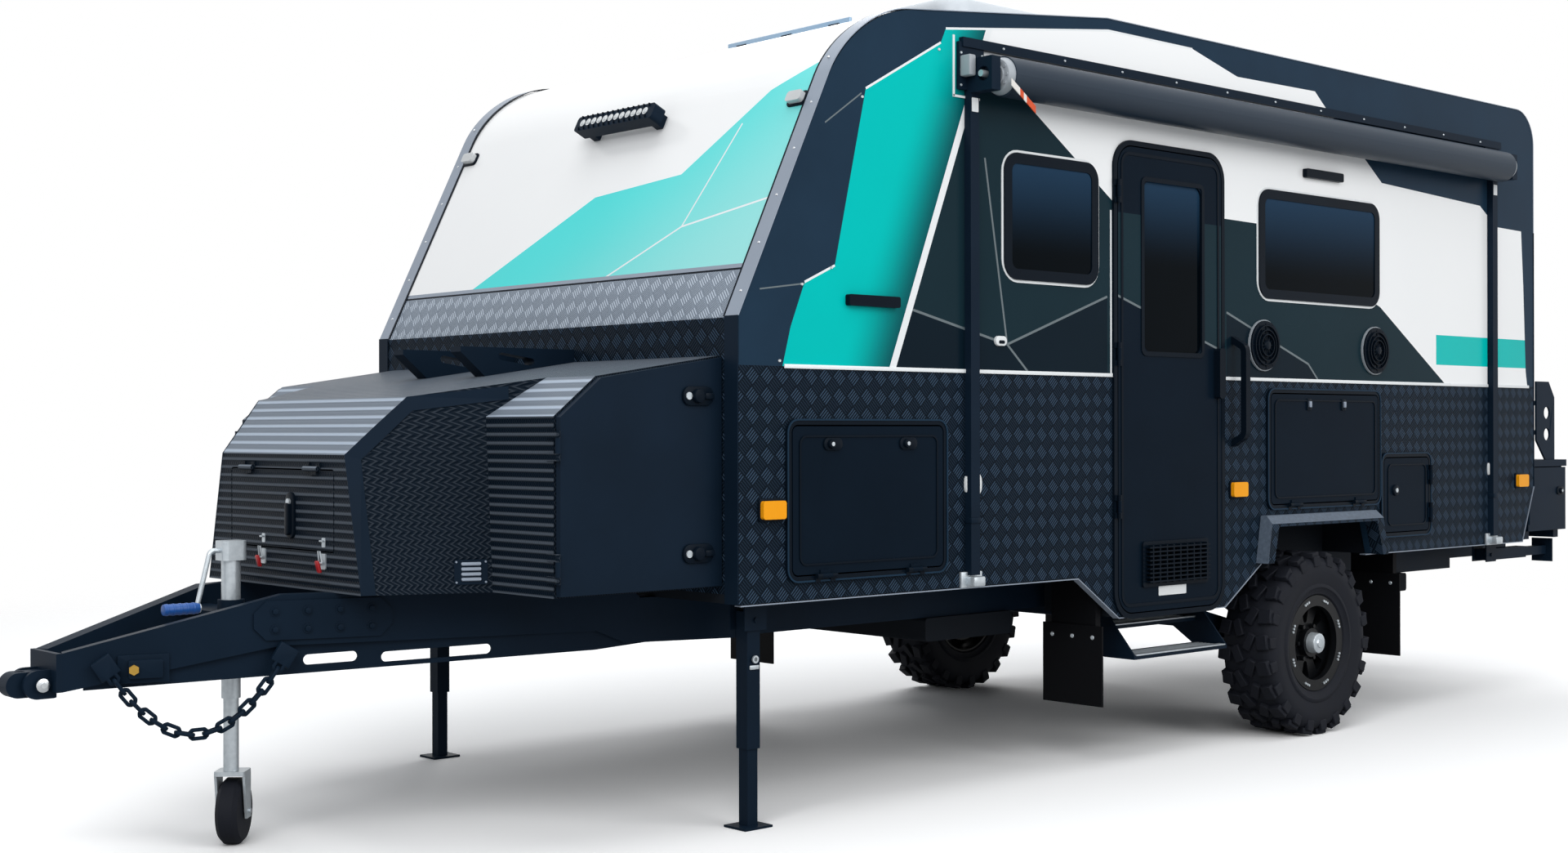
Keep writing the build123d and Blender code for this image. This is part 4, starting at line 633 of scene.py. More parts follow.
# Finishes of the solids that keep their own shape
nodeFinishes = {
    "powderCoat": [
        "drawbar_rails", "chassis_rails", "cross_members", "coupling", "jockey_clamp", "rack_arms",
        "rear_rack", "rear_box", "rear_box_door", "suspension", "springs_and_dampers", "awning_frame",
        "leg_brackets", "leg_front_left", "leg_front_right", "leg_rear_left", "leg_rear_right",
        "toolbox_door_left", "toolbox_door_right", "light_bar", "entry_step",
    ],
    "treadBlack": ["arch_flares"],
    "frameBlack": ["wall_frames", "door_fittings", "wall_fittings"],
    "leafBlack": ["boot_hatch_left", "boot_hatch_right", "picnic_table", "service_hatch"],
    "tintedGlass": ["window_panes", "door_glass"],
    "zincPlate": ["jockey_tube", "jockey_crank", "jockey_leg", "jockey_fork"],
    "tyreRubber": ["jockey_wheel"],
    "flapRubber": ["mud_flaps"],
    "alloyBlack": ["rim_left", "rim_right"],
    "awningVinyl": ["awning_roller"],
    "amberLens": ["lamps_amber"],
    "clearLens": ["lamps_clear"],
    "redLens": ["lamps_red"],
    "coolerShell": ["air_conditioner"],
    "solarCell": ["solar_panel"],
    "sealedFloor": ["floor", "water_tanks"],
    "gelWhite": ["roof"],
    "ribBlack": ["toolbox_shell", "toolbox_front_door"],
}
for finish, names in nodeFinishes.items():
    for name in names:
        solid = nodes[name]
        if not solid.data.materials:
            solid.data.materials.append(None)
        for slot in solid.material_slots:
            slot.link = "OBJECT"
            slot.material = materials[finish]
print("solids finished")

# Belt trim, broken at the door, and white outlines round the windows
trim = dict(high=0.014, proud=0.005, bevel=0.0015, doorRear=0.645, doorFront=1.372, front=3.08, rear=-1.94)
beltRuns = [(1, "doorFront", "front"), (1, "rear", "doorRear"), (-1, "rear", "front")]
shape = bmesh.new()
for side, start, end in beltRuns:
    size = (trim[end] - trim[start], side * trim["proud"], trim["high"])
    addBlock(shape, at(trim[start], side * wallY, beltZ - trim["high"] / 2), size, trim["bevel"])
addPiece("beltTrim", shape, ["filmWhite"])

windows = dict(
    spans=((1.463, 2.002, 1.868, 2.334), (-0.541, 0.396, 1.869, 2.331)),
    ring=dict(grow=0.010, thick=0.003, corner=0.085, border=0.012),
)
shape = bmesh.new()
for side in (1, -1):
    for span in windows["spans"]:
        addSpanRing(shape, span, wallY, side, **windows["ring"])
addPiece("windowOutlines", shape, ["filmWhite"])

# Raised rims on the hatch frames, a lighter blue-black than the frames as a painted highlight on their edges;
# the right side has only the boot's
rims = dict(
    spans=((2.334, 3.050, 0.841, 1.331), (-0.522, 0.315, 1.002, 1.468), (-0.962, -0.577, 0.851, 1.186)),
    face=0.010, ring=dict(grow=0.025, thick=0.003, corner=0.047, border=0.006),
)
shape = bmesh.new()
for side, spans in ((1, rims["spans"]), (-1, rims["spans"][:1])):
    for span in spans:
        addSpanRing(shape, span, wallY + rims["face"], side, **rims["ring"])
addPiece("hatchRims", shape, ["edgeCover"])

# Skirt edge: a thin grey angle along the bottom of the plate, down round the door's dip
skirt = dict(
    z=0.755, out=0.002, width=0.03, thick=0.004, front=3.270, archFront=0.340, archRear=-0.432, rear=-1.868,
    dip=[(1.578, 0.755), (1.332, 0.590), (0.634, 0.590), (0.378, 0.755)],
)
shape = bmesh.new()
for side in (1, -1):
    foreEnd = skirt["dip"] if side > 0 else [(skirt["archFront"], skirt["z"])]
    fore = [(skirt["front"], skirt["z"])] + foreEnd
    aft = [(skirt["archRear"], skirt["z"]), (skirt["rear"], skirt["z"])]
    for run in (fore, aft):
        addPathStrip(shape, run, {}, side, skirt["out"], skirt["width"], skirt["thick"])
addPiece("skirtEdge", shape, ["cornerMould"])

# Corner moulds run up the front edge, over the crown and along the roof, then down the rear
mould = dict(width=0.066, seal=0.010, sealBack=0.001, thick=0.003, crown=0.262, rearRound=0.17)
roofRun = [(3.280, 1.688), (2.764, 2.753), (1.4, 2.904), (-1.994, 2.904), (-1.994, 2.3)]
# path, rounded corners, finish
mouldRuns = [
    ([(3.280, 0.758), roofRun[0]], {}, 1),
    (roofRun, {1: mould["crown"], 3: mould["rearRound"]}, 0),
    ([roofRun[-1], (-1.994, 1.03)], {}, 1),
    ([(-1.994, 1.03), (-1.873, 0.756)], {}, 0),
]
sealRun = [(x - mould["sealBack"], z) for x, z in roofRun[:3]]
shape = bmesh.new()
for side in (1, -1):
    thick = mould["thick"]
    for run, rounds, finish in mouldRuns:
        addPathStrip(shape, run, rounds, side, thick, mould["width"], thick, finish)
    addPathStrip(shape, sealRun, {1: mould["crown"]}, side, thick - mould["width"], mould["seal"], thick, 2)
addPiece("cornerMoulds", shape, ["cornerMould", "powderCoat", "frameBlack"])

# Arch flares: the plate's upper faces and leading leg, painted pale as a painted highlight and sky reflection
flare = dict(
    inner=1.109, lip=1.136, outer=1.169, topZ=0.955, lipZ=0.922, lowZ=0.758, front=(0.380, 0.386, 0.415),
    rear=(-0.475, -0.484), legLean=(0.98, 0, 0.17), thick=0.001,
)
shape = bmesh.new()
for side in (1, -1):
    inner, lip, outer = [side * flare[name] for name in ("inner", "lip", "outer")]
    topZ, lipZ, lowZ = flare["topZ"], flare["lipZ"], flare["lowZ"]
    frontTop, frontLip, frontLow = flare["front"]
    rearTop, rearLip = flare["rear"]
    shoulder = [(frontTop, lip, topZ), (frontLip, outer, lipZ)]
    level = [(rearTop, inner, topZ), (frontTop, inner, topZ), (frontTop, lip, topZ), (rearTop, lip, topZ)]
    chamfer = [(rearTop, lip, topZ)] + shoulder + [(rearLip, outer, lipZ)]
    leading = [(frontTop, inner, topZ)] + shoulder + [(frontLow, outer, lowZ), (frontLow, inner, lowZ)]
    for corners, outward in ((level, (0, 0, 1)), (chamfer, (0, side, 1)), (leading, flare["legLean"])):
        addPatch(shape, [at(*corner) for corner in corners], outward, flare["thick"])
addPiece("flareFaces", shape, ["scuffedPlate"])
print("trim placed")

# Tyre: moulded carcass, stepped shoulder lugs with side biters, two staggered rows of centre blocks
tyre = dict(
    profile=[
        (0.204, 0.098), (0.214, 0.112), (0.236, 0.117), (0.241, 0.123), (0.251, 0.123), (0.257, 0.119),
        (0.305, 0.1285), (0.345, 0.126), (0.366, 0.112), (0.376, 0.085),
    ],
    pitches=22, steps=66, lugBevel=0.0035, cutBack=0.86, sharpAngle=40,
    wheelY=1.023, axleZ=0.395, spare=(-2.230, -0.080, 1.205),
)
# lateral place, radius, (around, across, deep), turn in degrees
lugBlocks = [
    (0.092, 0.3815, (0.062, 0.060, 0.026), 9),
    (0.122, 0.355, (0.046, 0.019, 0.046), 0),
    (0.029, 0.3835, (0.074, 0.042, 0.022), -24),
]


def tyreShape():
    shape = bmesh.new()
    path = tyre["profile"] + [(r, -w) for r, w in reversed(tyre["profile"])]
    verts = [shape.verts.new((0, w, r)) for r, w in path]
    edges = [shape.edges.new(pair) for pair in pairs(verts + verts[:1])]
    bmesh.ops.spin(
        shape, geom=verts + edges, cent=(0, 0, 0), axis=(0, 1, 0), angle=2 * pi, steps=tyre["steps"],
        use_merge=True,
    )
    for number in range(tyre["pitches"]):
        for side in (1, -1):
            swing = Matrix.Rotation(2 * pi * (number + 0.25 * side) / tyre["pitches"], 4, "Y")
            long = 1.0 if (number + side) % 2 else tyre["cutBack"]  # every second lug is cut back
            for lateral, radius, size, turn in lugBlocks:
                place = Matrix.LocRotScale(
                    Vector((0, side * lateral, radius)), Matrix.Rotation(radians(side * turn), 3, "Z"),
                    Vector((size[0], size[1] * long, size[2])),
                )
                made = bmesh.ops.create_cube(shape, size=1, matrix=swing @ place)
                edges = {e for v in made["verts"] for e in v.link_edges}
                roundEdges(shape, edges, tyre["lugBevel"], segments=1)
    return shape


# Wheel trim: silver bead bolts in threes, black nuts, centre cap and valve
wheelTrim = dict(
    groups=8, boltStep=0.075, boltRing=0.187, boltRadius=0.0055, boltY=0.105, boltLong=0.007,
    nuts=6, nutRing=0.078, nutY=0.046, nutLong=0.028, nutRadius=(0.011, 0.009),
    capY=0.052, capLong=0.072, capRadius=(0.047, 0.043), tipY=0.122, tipLong=0.008, tipRadius=(0.022, 0.018),
    valve=(0.158, 0.072, 0.04), valveWay=(0.004, 0.03, 0), valveRadius=0.004,
)


def wheelTrimShape():
    trim = wheelTrim
    shape = bmesh.new()
    for group in range(trim["groups"]):
        for step in (-1, 0, 1):
            angle = 2 * pi * (group + 0.5) / trim["groups"] + step * trim["boltStep"]
            spot = spoke(angle) * trim["boltRing"] + Vector((0, trim["boltY"], 0))
            addRod(shape, spot, (0, trim["boltLong"], 0), trim["boltRadius"], segments=8)
    for nut in range(trim["nuts"]):
        spot = spoke(2 * pi * nut / trim["nuts"]) * trim["nutRing"] + Vector((0, trim["nutY"], 0))
        addRod(shape, spot, (0, trim["nutLong"], 0), *trim["nutRadius"], segments=6, finish=1)
    cap = Vector((0, trim["capY"], 0))
    addRod(shape, cap, (0, trim["capLong"], 0), *trim["capRadius"], segments=32, bevel=0.004)
    tip = Vector((0, trim["tipY"], 0))
    addRod(shape, tip, (0, trim["tipLong"], 0), *trim["tipRadius"], segments=24)
    addRod(shape, Vector(trim["valve"]), trim["valveWay"], trim["valveRadius"], segments=8)
    return shape


def addWheel(name, turn, body, node):
    shape = tyreShape()
    bmesh.ops.transform(shape, matrix=turn, verts=shape.verts)
    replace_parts(addPiece("mudTyre_" + name, shape, ["tyreRubber"], body, tyre["sharpAngle"]), node)
    shape = wheelTrimShape()
    bmesh.ops.transform(shape, matrix=turn, verts=shape.verts)
    addPiece("wheelTrim_" + name, shape, ["zincPlate", "alloyBlack"], body)


for side, name in sides:
    hub = Matrix.Translation(at(0, side * tyre["wheelY"], tyre["axleZ"]))
    turn = Matrix.Rotation(0 if side > 0 else pi, 4, "Z")
    addWheel(name, hub @ turn, "wheel_" + name, "tyre_" + name)
spareTurn = Matrix.Translation(at(*tyre["spare"])) @ Matrix.Rotation(pi / 2, 4, "Z")
addWheel("spare", spareTurn, "van", "spare_wheel")
shape = nodeShape("rim_left")
toSpare = spareTurn @ Matrix.Translation(-at(0, tyre["wheelY"], tyre["axleZ"]))
bmesh.ops.transform(shape, matrix=toSpare, verts=shape.verts)
addPiece("rim_spare", shape, ["alloyBlack"])
print("wheels dressed")

# Toolbox: folded flanges along the edges of its leaning cheeks, and a louvre low on each
toolbox = dict(
    frontX=4.300, rearX=3.768, lowZ=0.810, frontHalf=0.513, lean=0.233, flare=0.432,
    flangeEdge=[(4.300, 0.810), (4.300, 1.243), (4.125, 1.425), (3.865, 1.459)],
    flangeInner=[(4.258, 0.810), (4.258, 1.227), (4.113, 1.381), (3.865, 1.417)], proud=0.003,
)


def cheek(x, z, side):
    front = toolbox["frontHalf"] - toolbox["lean"] * (z - toolbox["lowZ"])
    deep = toolbox["frontX"] - toolbox["rearX"]
    rear = toolbox["frontHalf"] + toolbox["flare"] * deep
    return at(x, side * (front + (rear - front) * (toolbox["frontX"] - x) / deep), z)


shape = bmesh.new()
for side in (1, -1):
    for outer, inner in zip(pairs(toolbox["flangeEdge"]), pairs(toolbox["flangeInner"])):
        corners = [outer[0], outer[1], inner[1], inner[0]]
        addPatch(shape, [cheek(x, z, side) for x, z in corners], (0.4, side, 0.25), toolbox["proud"])
addPiece("toolboxFlanges", shape, ["powderCoat"])

louvre = dict(
    x=3.985, z=0.875, plate=(0.105, 0.078, 0.004, 0.006), thick=0.004, slots=4, pitch=0.016, tilt=-28,
    slot=(0.062, 0.010, 0.005, 0.004), screwX=0.046, screwY=0.032, screw=0.004,
)
shape = bmesh.new()
for side in (1, -1):
    x, z = louvre["x"], louvre["z"]
    along = cheek(x - 0.05, z, side) - cheek(x + 0.05, z, side)
    up = cheek(x, z + 0.05, side) - cheek(x, z - 0.05, side)
    outward = along.cross(up) * side
    place = facing(cheek(x, z, side), outward)
    addPlate(shape, place, *louvre["plate"])
    for slot in range(louvre["slots"]):
        height = (slot - (louvre["slots"] - 1) / 2) * louvre["pitch"]
        spot = place @ Matrix.Translation((0, height, louvre["thick"]))
        addPlate(shape, spot @ Matrix.Rotation(radians(louvre["tilt"]), 4, "X"), *louvre["slot"], finish=1)
    corners = [(sx * louvre["screwX"], sy * louvre["screwY"]) for sx in (-1, 1) for sy in (-1, 1)]
    screws = [place @ Vector((sx, sy, louvre["thick"])) for sx, sy in corners]
    addScrews(shape, screws, outward, louvre["screw"], finish=1)
addPiece("toolboxLouvres", shape, ["powderCoat", "cornerMould"])

# T-lock and keepers on the lift-up door, over-centre latches on the box below it
latches = dict(
    places=(-0.115, 0.285), keeperZ=0.965, keeper=(0.020, 0.030, 0.003, 0.003), hook=(0.012, 0.018, 0.006),
    latchZ=0.905, plate=(0.030, 0.050, 0.004, 0.004), arm=(0.006, 0.004, 0.038), lever=(0.010, 0.020, 0.040),
    leverTurn=16, lockY=0.075, lockZ=1.045, lock=(0.052, 0.15, 0.010, 0.024),
    handle=(0.024, 0.105, 0.012, 0.011),
)
forward = (1, 0, 0)
faceX = toolbox["frontX"]
shape = bmesh.new()
y, z = latches["lockY"], latches["lockZ"]
addPlate(shape, facing(at(faceX, y, z), forward), *latches["lock"], bevel=0.003)
addPlate(shape, facing(at(faceX + 0.010, y, z - 0.012), forward), *latches["handle"], bevel=0.003)
addRod(shape, at(faceX + 0.008, y, z + 0.044), (0.009, 0, 0), 0.011, finish=1)
for y in latches["places"]:
    z = latches["keeperZ"]
    addPlate(shape, facing(at(faceX, y, z), forward), *latches["keeper"], finish=1)
    corner = at(faceX + 0.002, y - latches["hook"][1] / 2, z + 0.002)
    addBlock(shape, corner, latches["hook"], 0.002, finish=1)
addPiece("toolboxLock", shape, ["frameBlack", "zincPlate"], "toolbox_front_door")
shape = bmesh.new()
leverTurn = Matrix.Rotation(radians(latches["leverTurn"]), 3, "Y")
for y in latches["places"]:
    z = latches["latchZ"]
    addPlate(shape, facing(at(faceX, y, z), forward), *latches["plate"])
    addRod(shape, at(faceX + 0.012, y - 0.014, z - 0.006), (0, 0.028, 0), 0.005, segments=12)
    armX, armY, armZ = latches["arm"]
    for hand in (-1, 1):
        foot = at(faceX + 0.012, y + hand * 0.010, z - 0.004)
        addRod(shape, foot, (armX, -hand * armY, armZ), 0.0028, segments=8)
    corner = at(faceX + 0.016, y - latches["lever"][1] / 2, z - 0.036)
    addBlock(shape, corner, latches["lever"], 0.004, finish=1, turn=leverTurn)
addPiece("toolboxLatches", shape, ["zincPlate", "redPlastic"])


# Compression lock: a plate, and rods given as shift, reach, length, radius, end radius, segments, bevel
def addLock(shape, x, z, side, lock):
    if "plate" in lock:
        addPlate(shape, onSide(x, lock["faceY"], z, side), *lock["plate"], bevel=lock["bevel"])
    for finish, rod in enumerate((lock["barrel"], lock["key"])):
        shift, reach, length, *form = rod
        start = at(x + shift, side * (lock["faceY"] + reach), z)
        addRod(shape, start, (0, side * length, 0), *form, finish=finish)


# Side doors: two locks at the rear edge of each
sideDoor = dict(
    lockX=3.385, locks=(1.428, 0.925), faceY=1.030, plate=(0.125, 0.062, 0.010, 0.028), bevel=0.003,
    barrel=(0.006, 0.008, 0.018, 0.024, 0.021, 28, 0.003), key=(0.042, 0.008, 0.006, 0.012),
    lug=(0.038, 0.012, 0.020), lugX=-0.058, lugReach=0.008,
)
for side, name in sides:
    shape = bmesh.new()
    lugX, lugY, lugZ = sideDoor["lug"]
    for z in sideDoor["locks"]:
        x = sideDoor["lockX"]
        addLock(shape, x, z, side, sideDoor)
        corner = at(x + sideDoor["lugX"], side * (sideDoor["faceY"] + sideDoor["lugReach"]), z - lugZ / 2)
        addBlock(shape, corner, (lugX, side * lugY, lugZ), sideDoor["bevel"])
    addPiece("toolboxDoorLocks_" + name, shape, ["frameBlack", "zincPlate"], "toolbox_door_" + name)
print("toolbox dressed")

# Boot hatches: two locks and a pressed ring on each
leafY = 1.117  # outer face of the hatch and door leaves
boot = dict(
    locks=(2.512, 2.872), lockZ=1.272, faceY=leafY, plate=(0.085, 0.042, 0.007, 0.02), bevel=0.002,
    barrel=(0.012, 0.006, 0.012, 0.016, 0.014, 24, 0.002), key=(0.012, 0.017, 0.003, 0.007, 0.007, 16),
    middle=(2.692, 1.086), ring=(0.66, 0.43, 0.004, 0.03, 0.006),
)
for side, name in sides:
    shape = bmesh.new()
    for x in boot["locks"]:
        addLock(shape, x, boot["lockZ"], side, boot)
    x, z = boot["middle"]
    addRing(shape, onSide(x, leafY, z, side), *boot["ring"])
    addPiece("bootHatchLocks_" + name, shape, ["frameBlack", "zincPlate"], "boot_hatch_" + name)

# Table hatch: two slam latches
table = dict(
    latches=(-0.235, 0.035), latchZ=1.425, plate=(0.034, 0.050, 0.006, 0.006), bevel=0.002,
    button=(0.016, 0.009, 0.026), middle=(-0.104, 1.235), ring=(0.79, 0.42, 0.004, 0.03, 0.006),
)
shape = bmesh.new()
for x in table["latches"]:
    z = table["latchZ"]
    addPlate(shape, onSide(x, leafY, z), *table["plate"], bevel=table["bevel"])
    corner = at(x - table["button"][0] / 2, leafY + 0.005, z - 0.012)
    addBlock(shape, corner, table["button"], table["bevel"], finish=1)
x, z = table["middle"]
addRing(shape, onSide(x, leafY, z), *table["ring"])
addPiece("tableLatches", shape, ["frameBlack", "cornerMould"], "picnic_table")

# Service hatch: a round key lock
service = dict(
    lock=(-0.665, 1.040), faceY=leafY, barrel=(0, -0.001, 0.011, 0.026, 0.023, 28, 0.002),
    key=(0, 0.009, 0.004, 0.010, 0.010, 18), middle=(-0.7695, 1.0185), ring=(0.33, 0.28, 0.004, 0.03, 0.005),
)
shape = bmesh.new()
x, z = service["lock"]
addLock(shape, x, z, 1, service)
x, z = service["middle"]
addRing(shape, onSide(x, leafY, z), *service["ring"])
addPiece("serviceLock", shape, ["frameBlack", "zincPlate"], "service_hatch")

# Entry door: vent grille, glass seal, rim and a blank label
door = dict(
    vent=(0.790, 1.187, 0.715, 0.865), slats=9, posts=9, ventReach=0.002, slatDeep=0.029, postDeep=0.0285,
    glass=(0.805, 1.188, 1.622, 2.295), seal=dict(grow=0.015, thick=0.004, corner=0.03, border=0.018),
    middle=(1.0085, 1.513), rim=(0.64, 1.77, 0.003, 0.05, 0.012),
    label=(1.004, 0.682), labelPlate=(0.18, 0.040, 0.0012, 0.004),
)
shape = bmesh.new()
low, high, bottom, top = door["vent"]
ventY = leafY + door["ventReach"]
for number in range(door["slats"]):
    z = bottom + (top - bottom) * (number + 0.5) / door["slats"]
    addBlock(shape, at(low, ventY, z - 0.004), (high - low, door["slatDeep"], 0.006))
for number in range(door["posts"]):
    x = low + (high - low) * (number + 0.5) / door["posts"]
    addBlock(shape, at(x - 0.003, ventY, bottom), (0.006, door["postDeep"], top - bottom))
addSpanRing(shape, door["glass"], leafY, 1, **door["seal"])
x, z = door["middle"]
addRing(shape, onSide(x, leafY, z), *door["rim"])
x, z = door["label"]
addPlate(shape, onSide(x, leafY, z), *door["labelPlate"], finish=1)
addPiece("doorTrim", shape, ["frameBlack", "whitePlastic"], "entry_door")

# Rear box: one lock on its side door
rearLock = dict(
    x=-2.365, z=1.000, faceY=1.060, plate=(0.075, 0.042, 0.006, 0.02), bevel=0.002,
    barrel=(0, 0.005, 0.010, 0.015, 0.013, 24, 0.002), key=(0, 0.014, 0.003, 0.007, 0.007, 16),
)
shape = bmesh.new()
addLock(shape, rearLock["x"], rearLock["z"], 1, rearLock)
addPiece("rearBoxLock", shape, ["frameBlack", "zincPlate"], "rear_box_door")

# Rear stay: its twin plate stands on the box's lid, held off the first by two spacers
stay = dict(
    innerY=0.985, lowZ=1.150, moved=(-0.150, 0.050, 0.0), spacerX=-2.160, spacerZ=(1.300, 1.450), sunk=0.004,
    radius=0.012,
)
shape = nodeShape("rear_rack")
innerEdge = at(0, stay["innerY"], 0).y
others = [v for v in shape.verts if v.co.y < innerEdge or v.co.z < stay["lowZ"]]
bmesh.ops.delete(shape, geom=others, context="VERTS")
firstY = max(v.co.y for v in shape.verts) - middleY
bmesh.ops.translate(shape, vec=stay["moved"], verts=shape.verts)
for z in stay["spacerZ"]:
    start = at(stay["spacerX"], firstY - stay["sunk"], z)
    addRod(shape, start, (0, stay["moved"][1], 0), stay["radius"], segments=18)
addPiece("stayTwin", shape, ["powderCoat"])
print("hatches and door dressed")

# Awning: moulded end caps with a ring of screws
awning = dict(
    rollY=1.198, rollZ=2.580, ends=((2.110, 1), (-1.510, -1)), arms=(2.185, -1.555), footZ=0.800,
    slideZ=0.985, capScrews=10, capRing=0.050, screw=0.005, bracketScrews=(2.545, 2.600, 2.660),
    railZ=2.700, railStart=-1.430, railPitch=0.345, railScrews=11,
    tagZ=2.478, tag=(0.034, 0.050, 0.0015, 0.003),
)
shape = bmesh.new()
for end, way in awning["ends"]:
    roll = at(end, awning["rollY"], awning["rollZ"])
    out = Vector((way, 0, 0))
    addRod(shape, roll - out * 0.004, out * 0.034, 0.069, 0.060, segments=36, bevel=0.004)
    addRod(shape, roll + out * 0.028, out * 0.008, 0.040, 0.036, segments=28)
    for number in range(awning["capScrews"]):
        angle = 2 * pi * number / awning["capScrews"]
        spot = roll + Vector((0, cos(angle), sin(angle))) * awning["capRing"]
        addRod(shape, spot + out * 0.026, out * 0.008, 0.006, segments=10)
addPiece("awningCaps", shape, ["greyPlastic"])

# Feet, head brackets, pivot pins and slide collars of the two arms, and the rail's screws
shape = bmesh.new()
for x in awning["arms"]:
    footZ = awning["footZ"]
    addBlock(shape, at(x - 0.055, wallY, footZ - 0.045), (0.110, 0.012, 0.057), 0.003, finish=1)
    addBlock(shape, at(x - 0.030, wallY + 0.008, footZ - 0.040), (0.060, 0.044, 0.036), 0.006, finish=1)
    addBlock(shape, at(x - 0.052, wallY + 0.010, 2.585), (0.026, 0.065, 0.055), 0.005, finish=2)
    addBlock(shape, at(x + 0.026, wallY + 0.010, 2.575), (0.034, 0.050, 0.075), 0.006, finish=2)
    addRod(shape, at(x - 0.070, wallY + 0.088, awning["rollZ"]), (0.104, 0, 0), 0.012, segments=18, finish=1)
    addBlock(shape, at(x - 0.026, wallY, awning["slideZ"]), (0.052, 0.034, 0.020), 0.002)
    screws = [at(x + dx, wallY + 0.014, z) for dx in (-0.055, 0.055) for z in awning["bracketScrews"]]
    addScrews(shape, screws, (0, 1, 0), awning["screw"], finish=1)
railXs = [awning["railStart"] + number * awning["railPitch"] for number in range(awning["railScrews"])]
screws = [at(x, wallY + 0.020, awning["railZ"]) for x in railXs]
addScrews(shape, screws, (0, 1, 0), awning["screw"], finish=1)
addPiece("awningBrackets", shape, ["powderCoat", "zincPlate", "greyPlastic"])

strap = dict(top=(2.140, 1.268, 2.548), way=(-0.13, 0, -0.085), half=0.013, thick=0.003)
strapBands = ((0.0, 0.35, 1), (0.35, 0.5, 0), (0.5, 0.62, 1), (0.62, 1.0, 0))  # start, end, finish
shape = bmesh.new()
for start, end, finish in strapBands:
    one, two = [at(*strap["top"]) + Vector(strap["way"]) * share for share in (start, end)]
    up = Vector((0, 0, strap["half"]))
    addPatch(shape, [one + up, two + up, two - up, one - up], (0, 1, 0), strap["thick"], finish)
addPiece("awningStrap", shape, ["strapOrange", "strapWhite"])
shape = bmesh.new()
for x in awning["arms"]:
    addPlate(shape, onSide(x, wallY + 0.030, awning["tagZ"]), *awning["tag"])
addPiece("awningTags", shape, ["whitePlastic"])

# Moulded keepers: one clips each arm to the wall, one small loop takes a guy
keepers = dict(
    z=1.124, shift=-0.014, sunk=0.001, plate=(0.085, 0.090, 0.012, 0.035), bevel=0.003,
    loopAt=(2.022, 1.641), loop=(0.060, 0.036, 0.012, 0.017),
    eyeAt=(0, -0.004, 0.012), eye=(0.030, 0.012, 0.002, 0.005),
)
shape = bmesh.new()
keeperY = wallY - keepers["sunk"]
for x in awning["arms"]:
    place = onSide(x + keepers["shift"], keeperY, keepers["z"])
    addPlate(shape, place, *keepers["plate"], bevel=keepers["bevel"])
x, z = keepers["loopAt"]
addPlate(shape, onSide(x, keeperY, z), *keepers["loop"], bevel=keepers["bevel"])
addPlate(shape, onSide(x, keeperY, z) @ Matrix.Translation(keepers["eyeAt"]), *keepers["eye"], finish=1)
addPiece("armKeepers", shape, ["whitePlastic", "frameBlack"])

# White lines round the awning's front bracket and beside the door: low corner, size
wallLines = [
    ((2.262, 2.505), (0.008, 0.004, 0.217)),
    ((2.130, 2.502), (0.140, 0.004, 0.008)),
    ((1.376, 1.521), (0.007, 0.003, 0.644)),
]
shape = bmesh.new()
for (x, z), size in wallLines:
    addBlock(shape, at(x, wallY, z), size)
addPiece("wallLines", shape, ["filmWhite"])
print("awning dressed")

# Speakers: pale rims, a domed cone behind ribs
speakers = dict(places=((0.362, 1.671), (-0.506, 1.671)), seat=0.001, spokes=12, spokeRadius=0.0022)
# radius, reach, width, finish
speakerRings = [
    (0.108, 0.009, 0.004, 1), (0.103, 0.016, 0.013, 0), (0.085, 0.024, 0.004, 0), (0.066, 0.026, 0.004, 0),
    (0.047, 0.028, 0.004, 0),
]
shape = bmesh.new()
for x, z in speakers["places"]:
    for radius, reach, width, finish in speakerRings:
        seat = onSide(x, wallY + speakers["seat"], z)
        ring = bmesh.ops.create_circle(shape, cap_ends=False, segments=48, radius=radius, matrix=seat)
        edges = {e for v in ring["verts"] for e in v.link_edges}
        tube = bmesh.ops.extrude_edge_only(shape, edges=list(edges))
        lift(shape, tube, (0, reach, 0))
        edges = [e for e in tube["geom"] if isinstance(e, bmesh.types.BMEdge)]
        inner = newVerts(bmesh.ops.extrude_edge_only(shape, edges=edges))
        shrink = 1 - width / radius
        toMiddle = Matrix.Translation(-at(x, wallY, z))
        bmesh.ops.scale(shape, vec=(shrink, 1, shrink), verts=inner, space=toMiddle)
        setFinish([f for v in newVerts(tube) + inner for f in v.link_faces], finish)
    addRod(shape, at(x, wallY + 0.002, z), (0, 0.028, 0), 0.026, 0.018, segments=28, bevel=0.004)
    for number in range(speakers["spokes"]):
        way = spoke(2 * pi * number / speakers["spokes"])
        start = at(x, wallY + 0.022, z) + way * 0.02
        addRod(shape, start, way * 0.081 - Vector((0, 0.006, 0)), speakers["spokeRadius"], segments=6)
addPiece("speakerRims", shape, ["frameBlack", "greyPlastic"])

# Lamps: housings behind the lenses
lamps = dict(
    amber=((3.140, 1.059), (0.552, 1.070), (-1.850, 1.062)), amberPlate=(0.112, 0.076, 0.008, 0.012),
    clear=(2.913, 0.997, 2.434), clearPlate=(0.092, 0.056, 0.007, 0.016), bevel=0.002,
    rake=(0.8995, 0.0, 0.4370),
)
shape = bmesh.new()
for side in (1, -1):
    for x, z in lamps["amber"]:
        addPlate(shape, onSide(x, wallY, z, side), *lamps["amberPlate"], bevel=lamps["bevel"])
    x, y, z = lamps["clear"]
    addPlate(shape, facing(at(x, side * y, z), lamps["rake"]), *lamps["clearPlate"], bevel=lamps["bevel"])
addPiece("lampHousings", shape, ["frameBlack"])

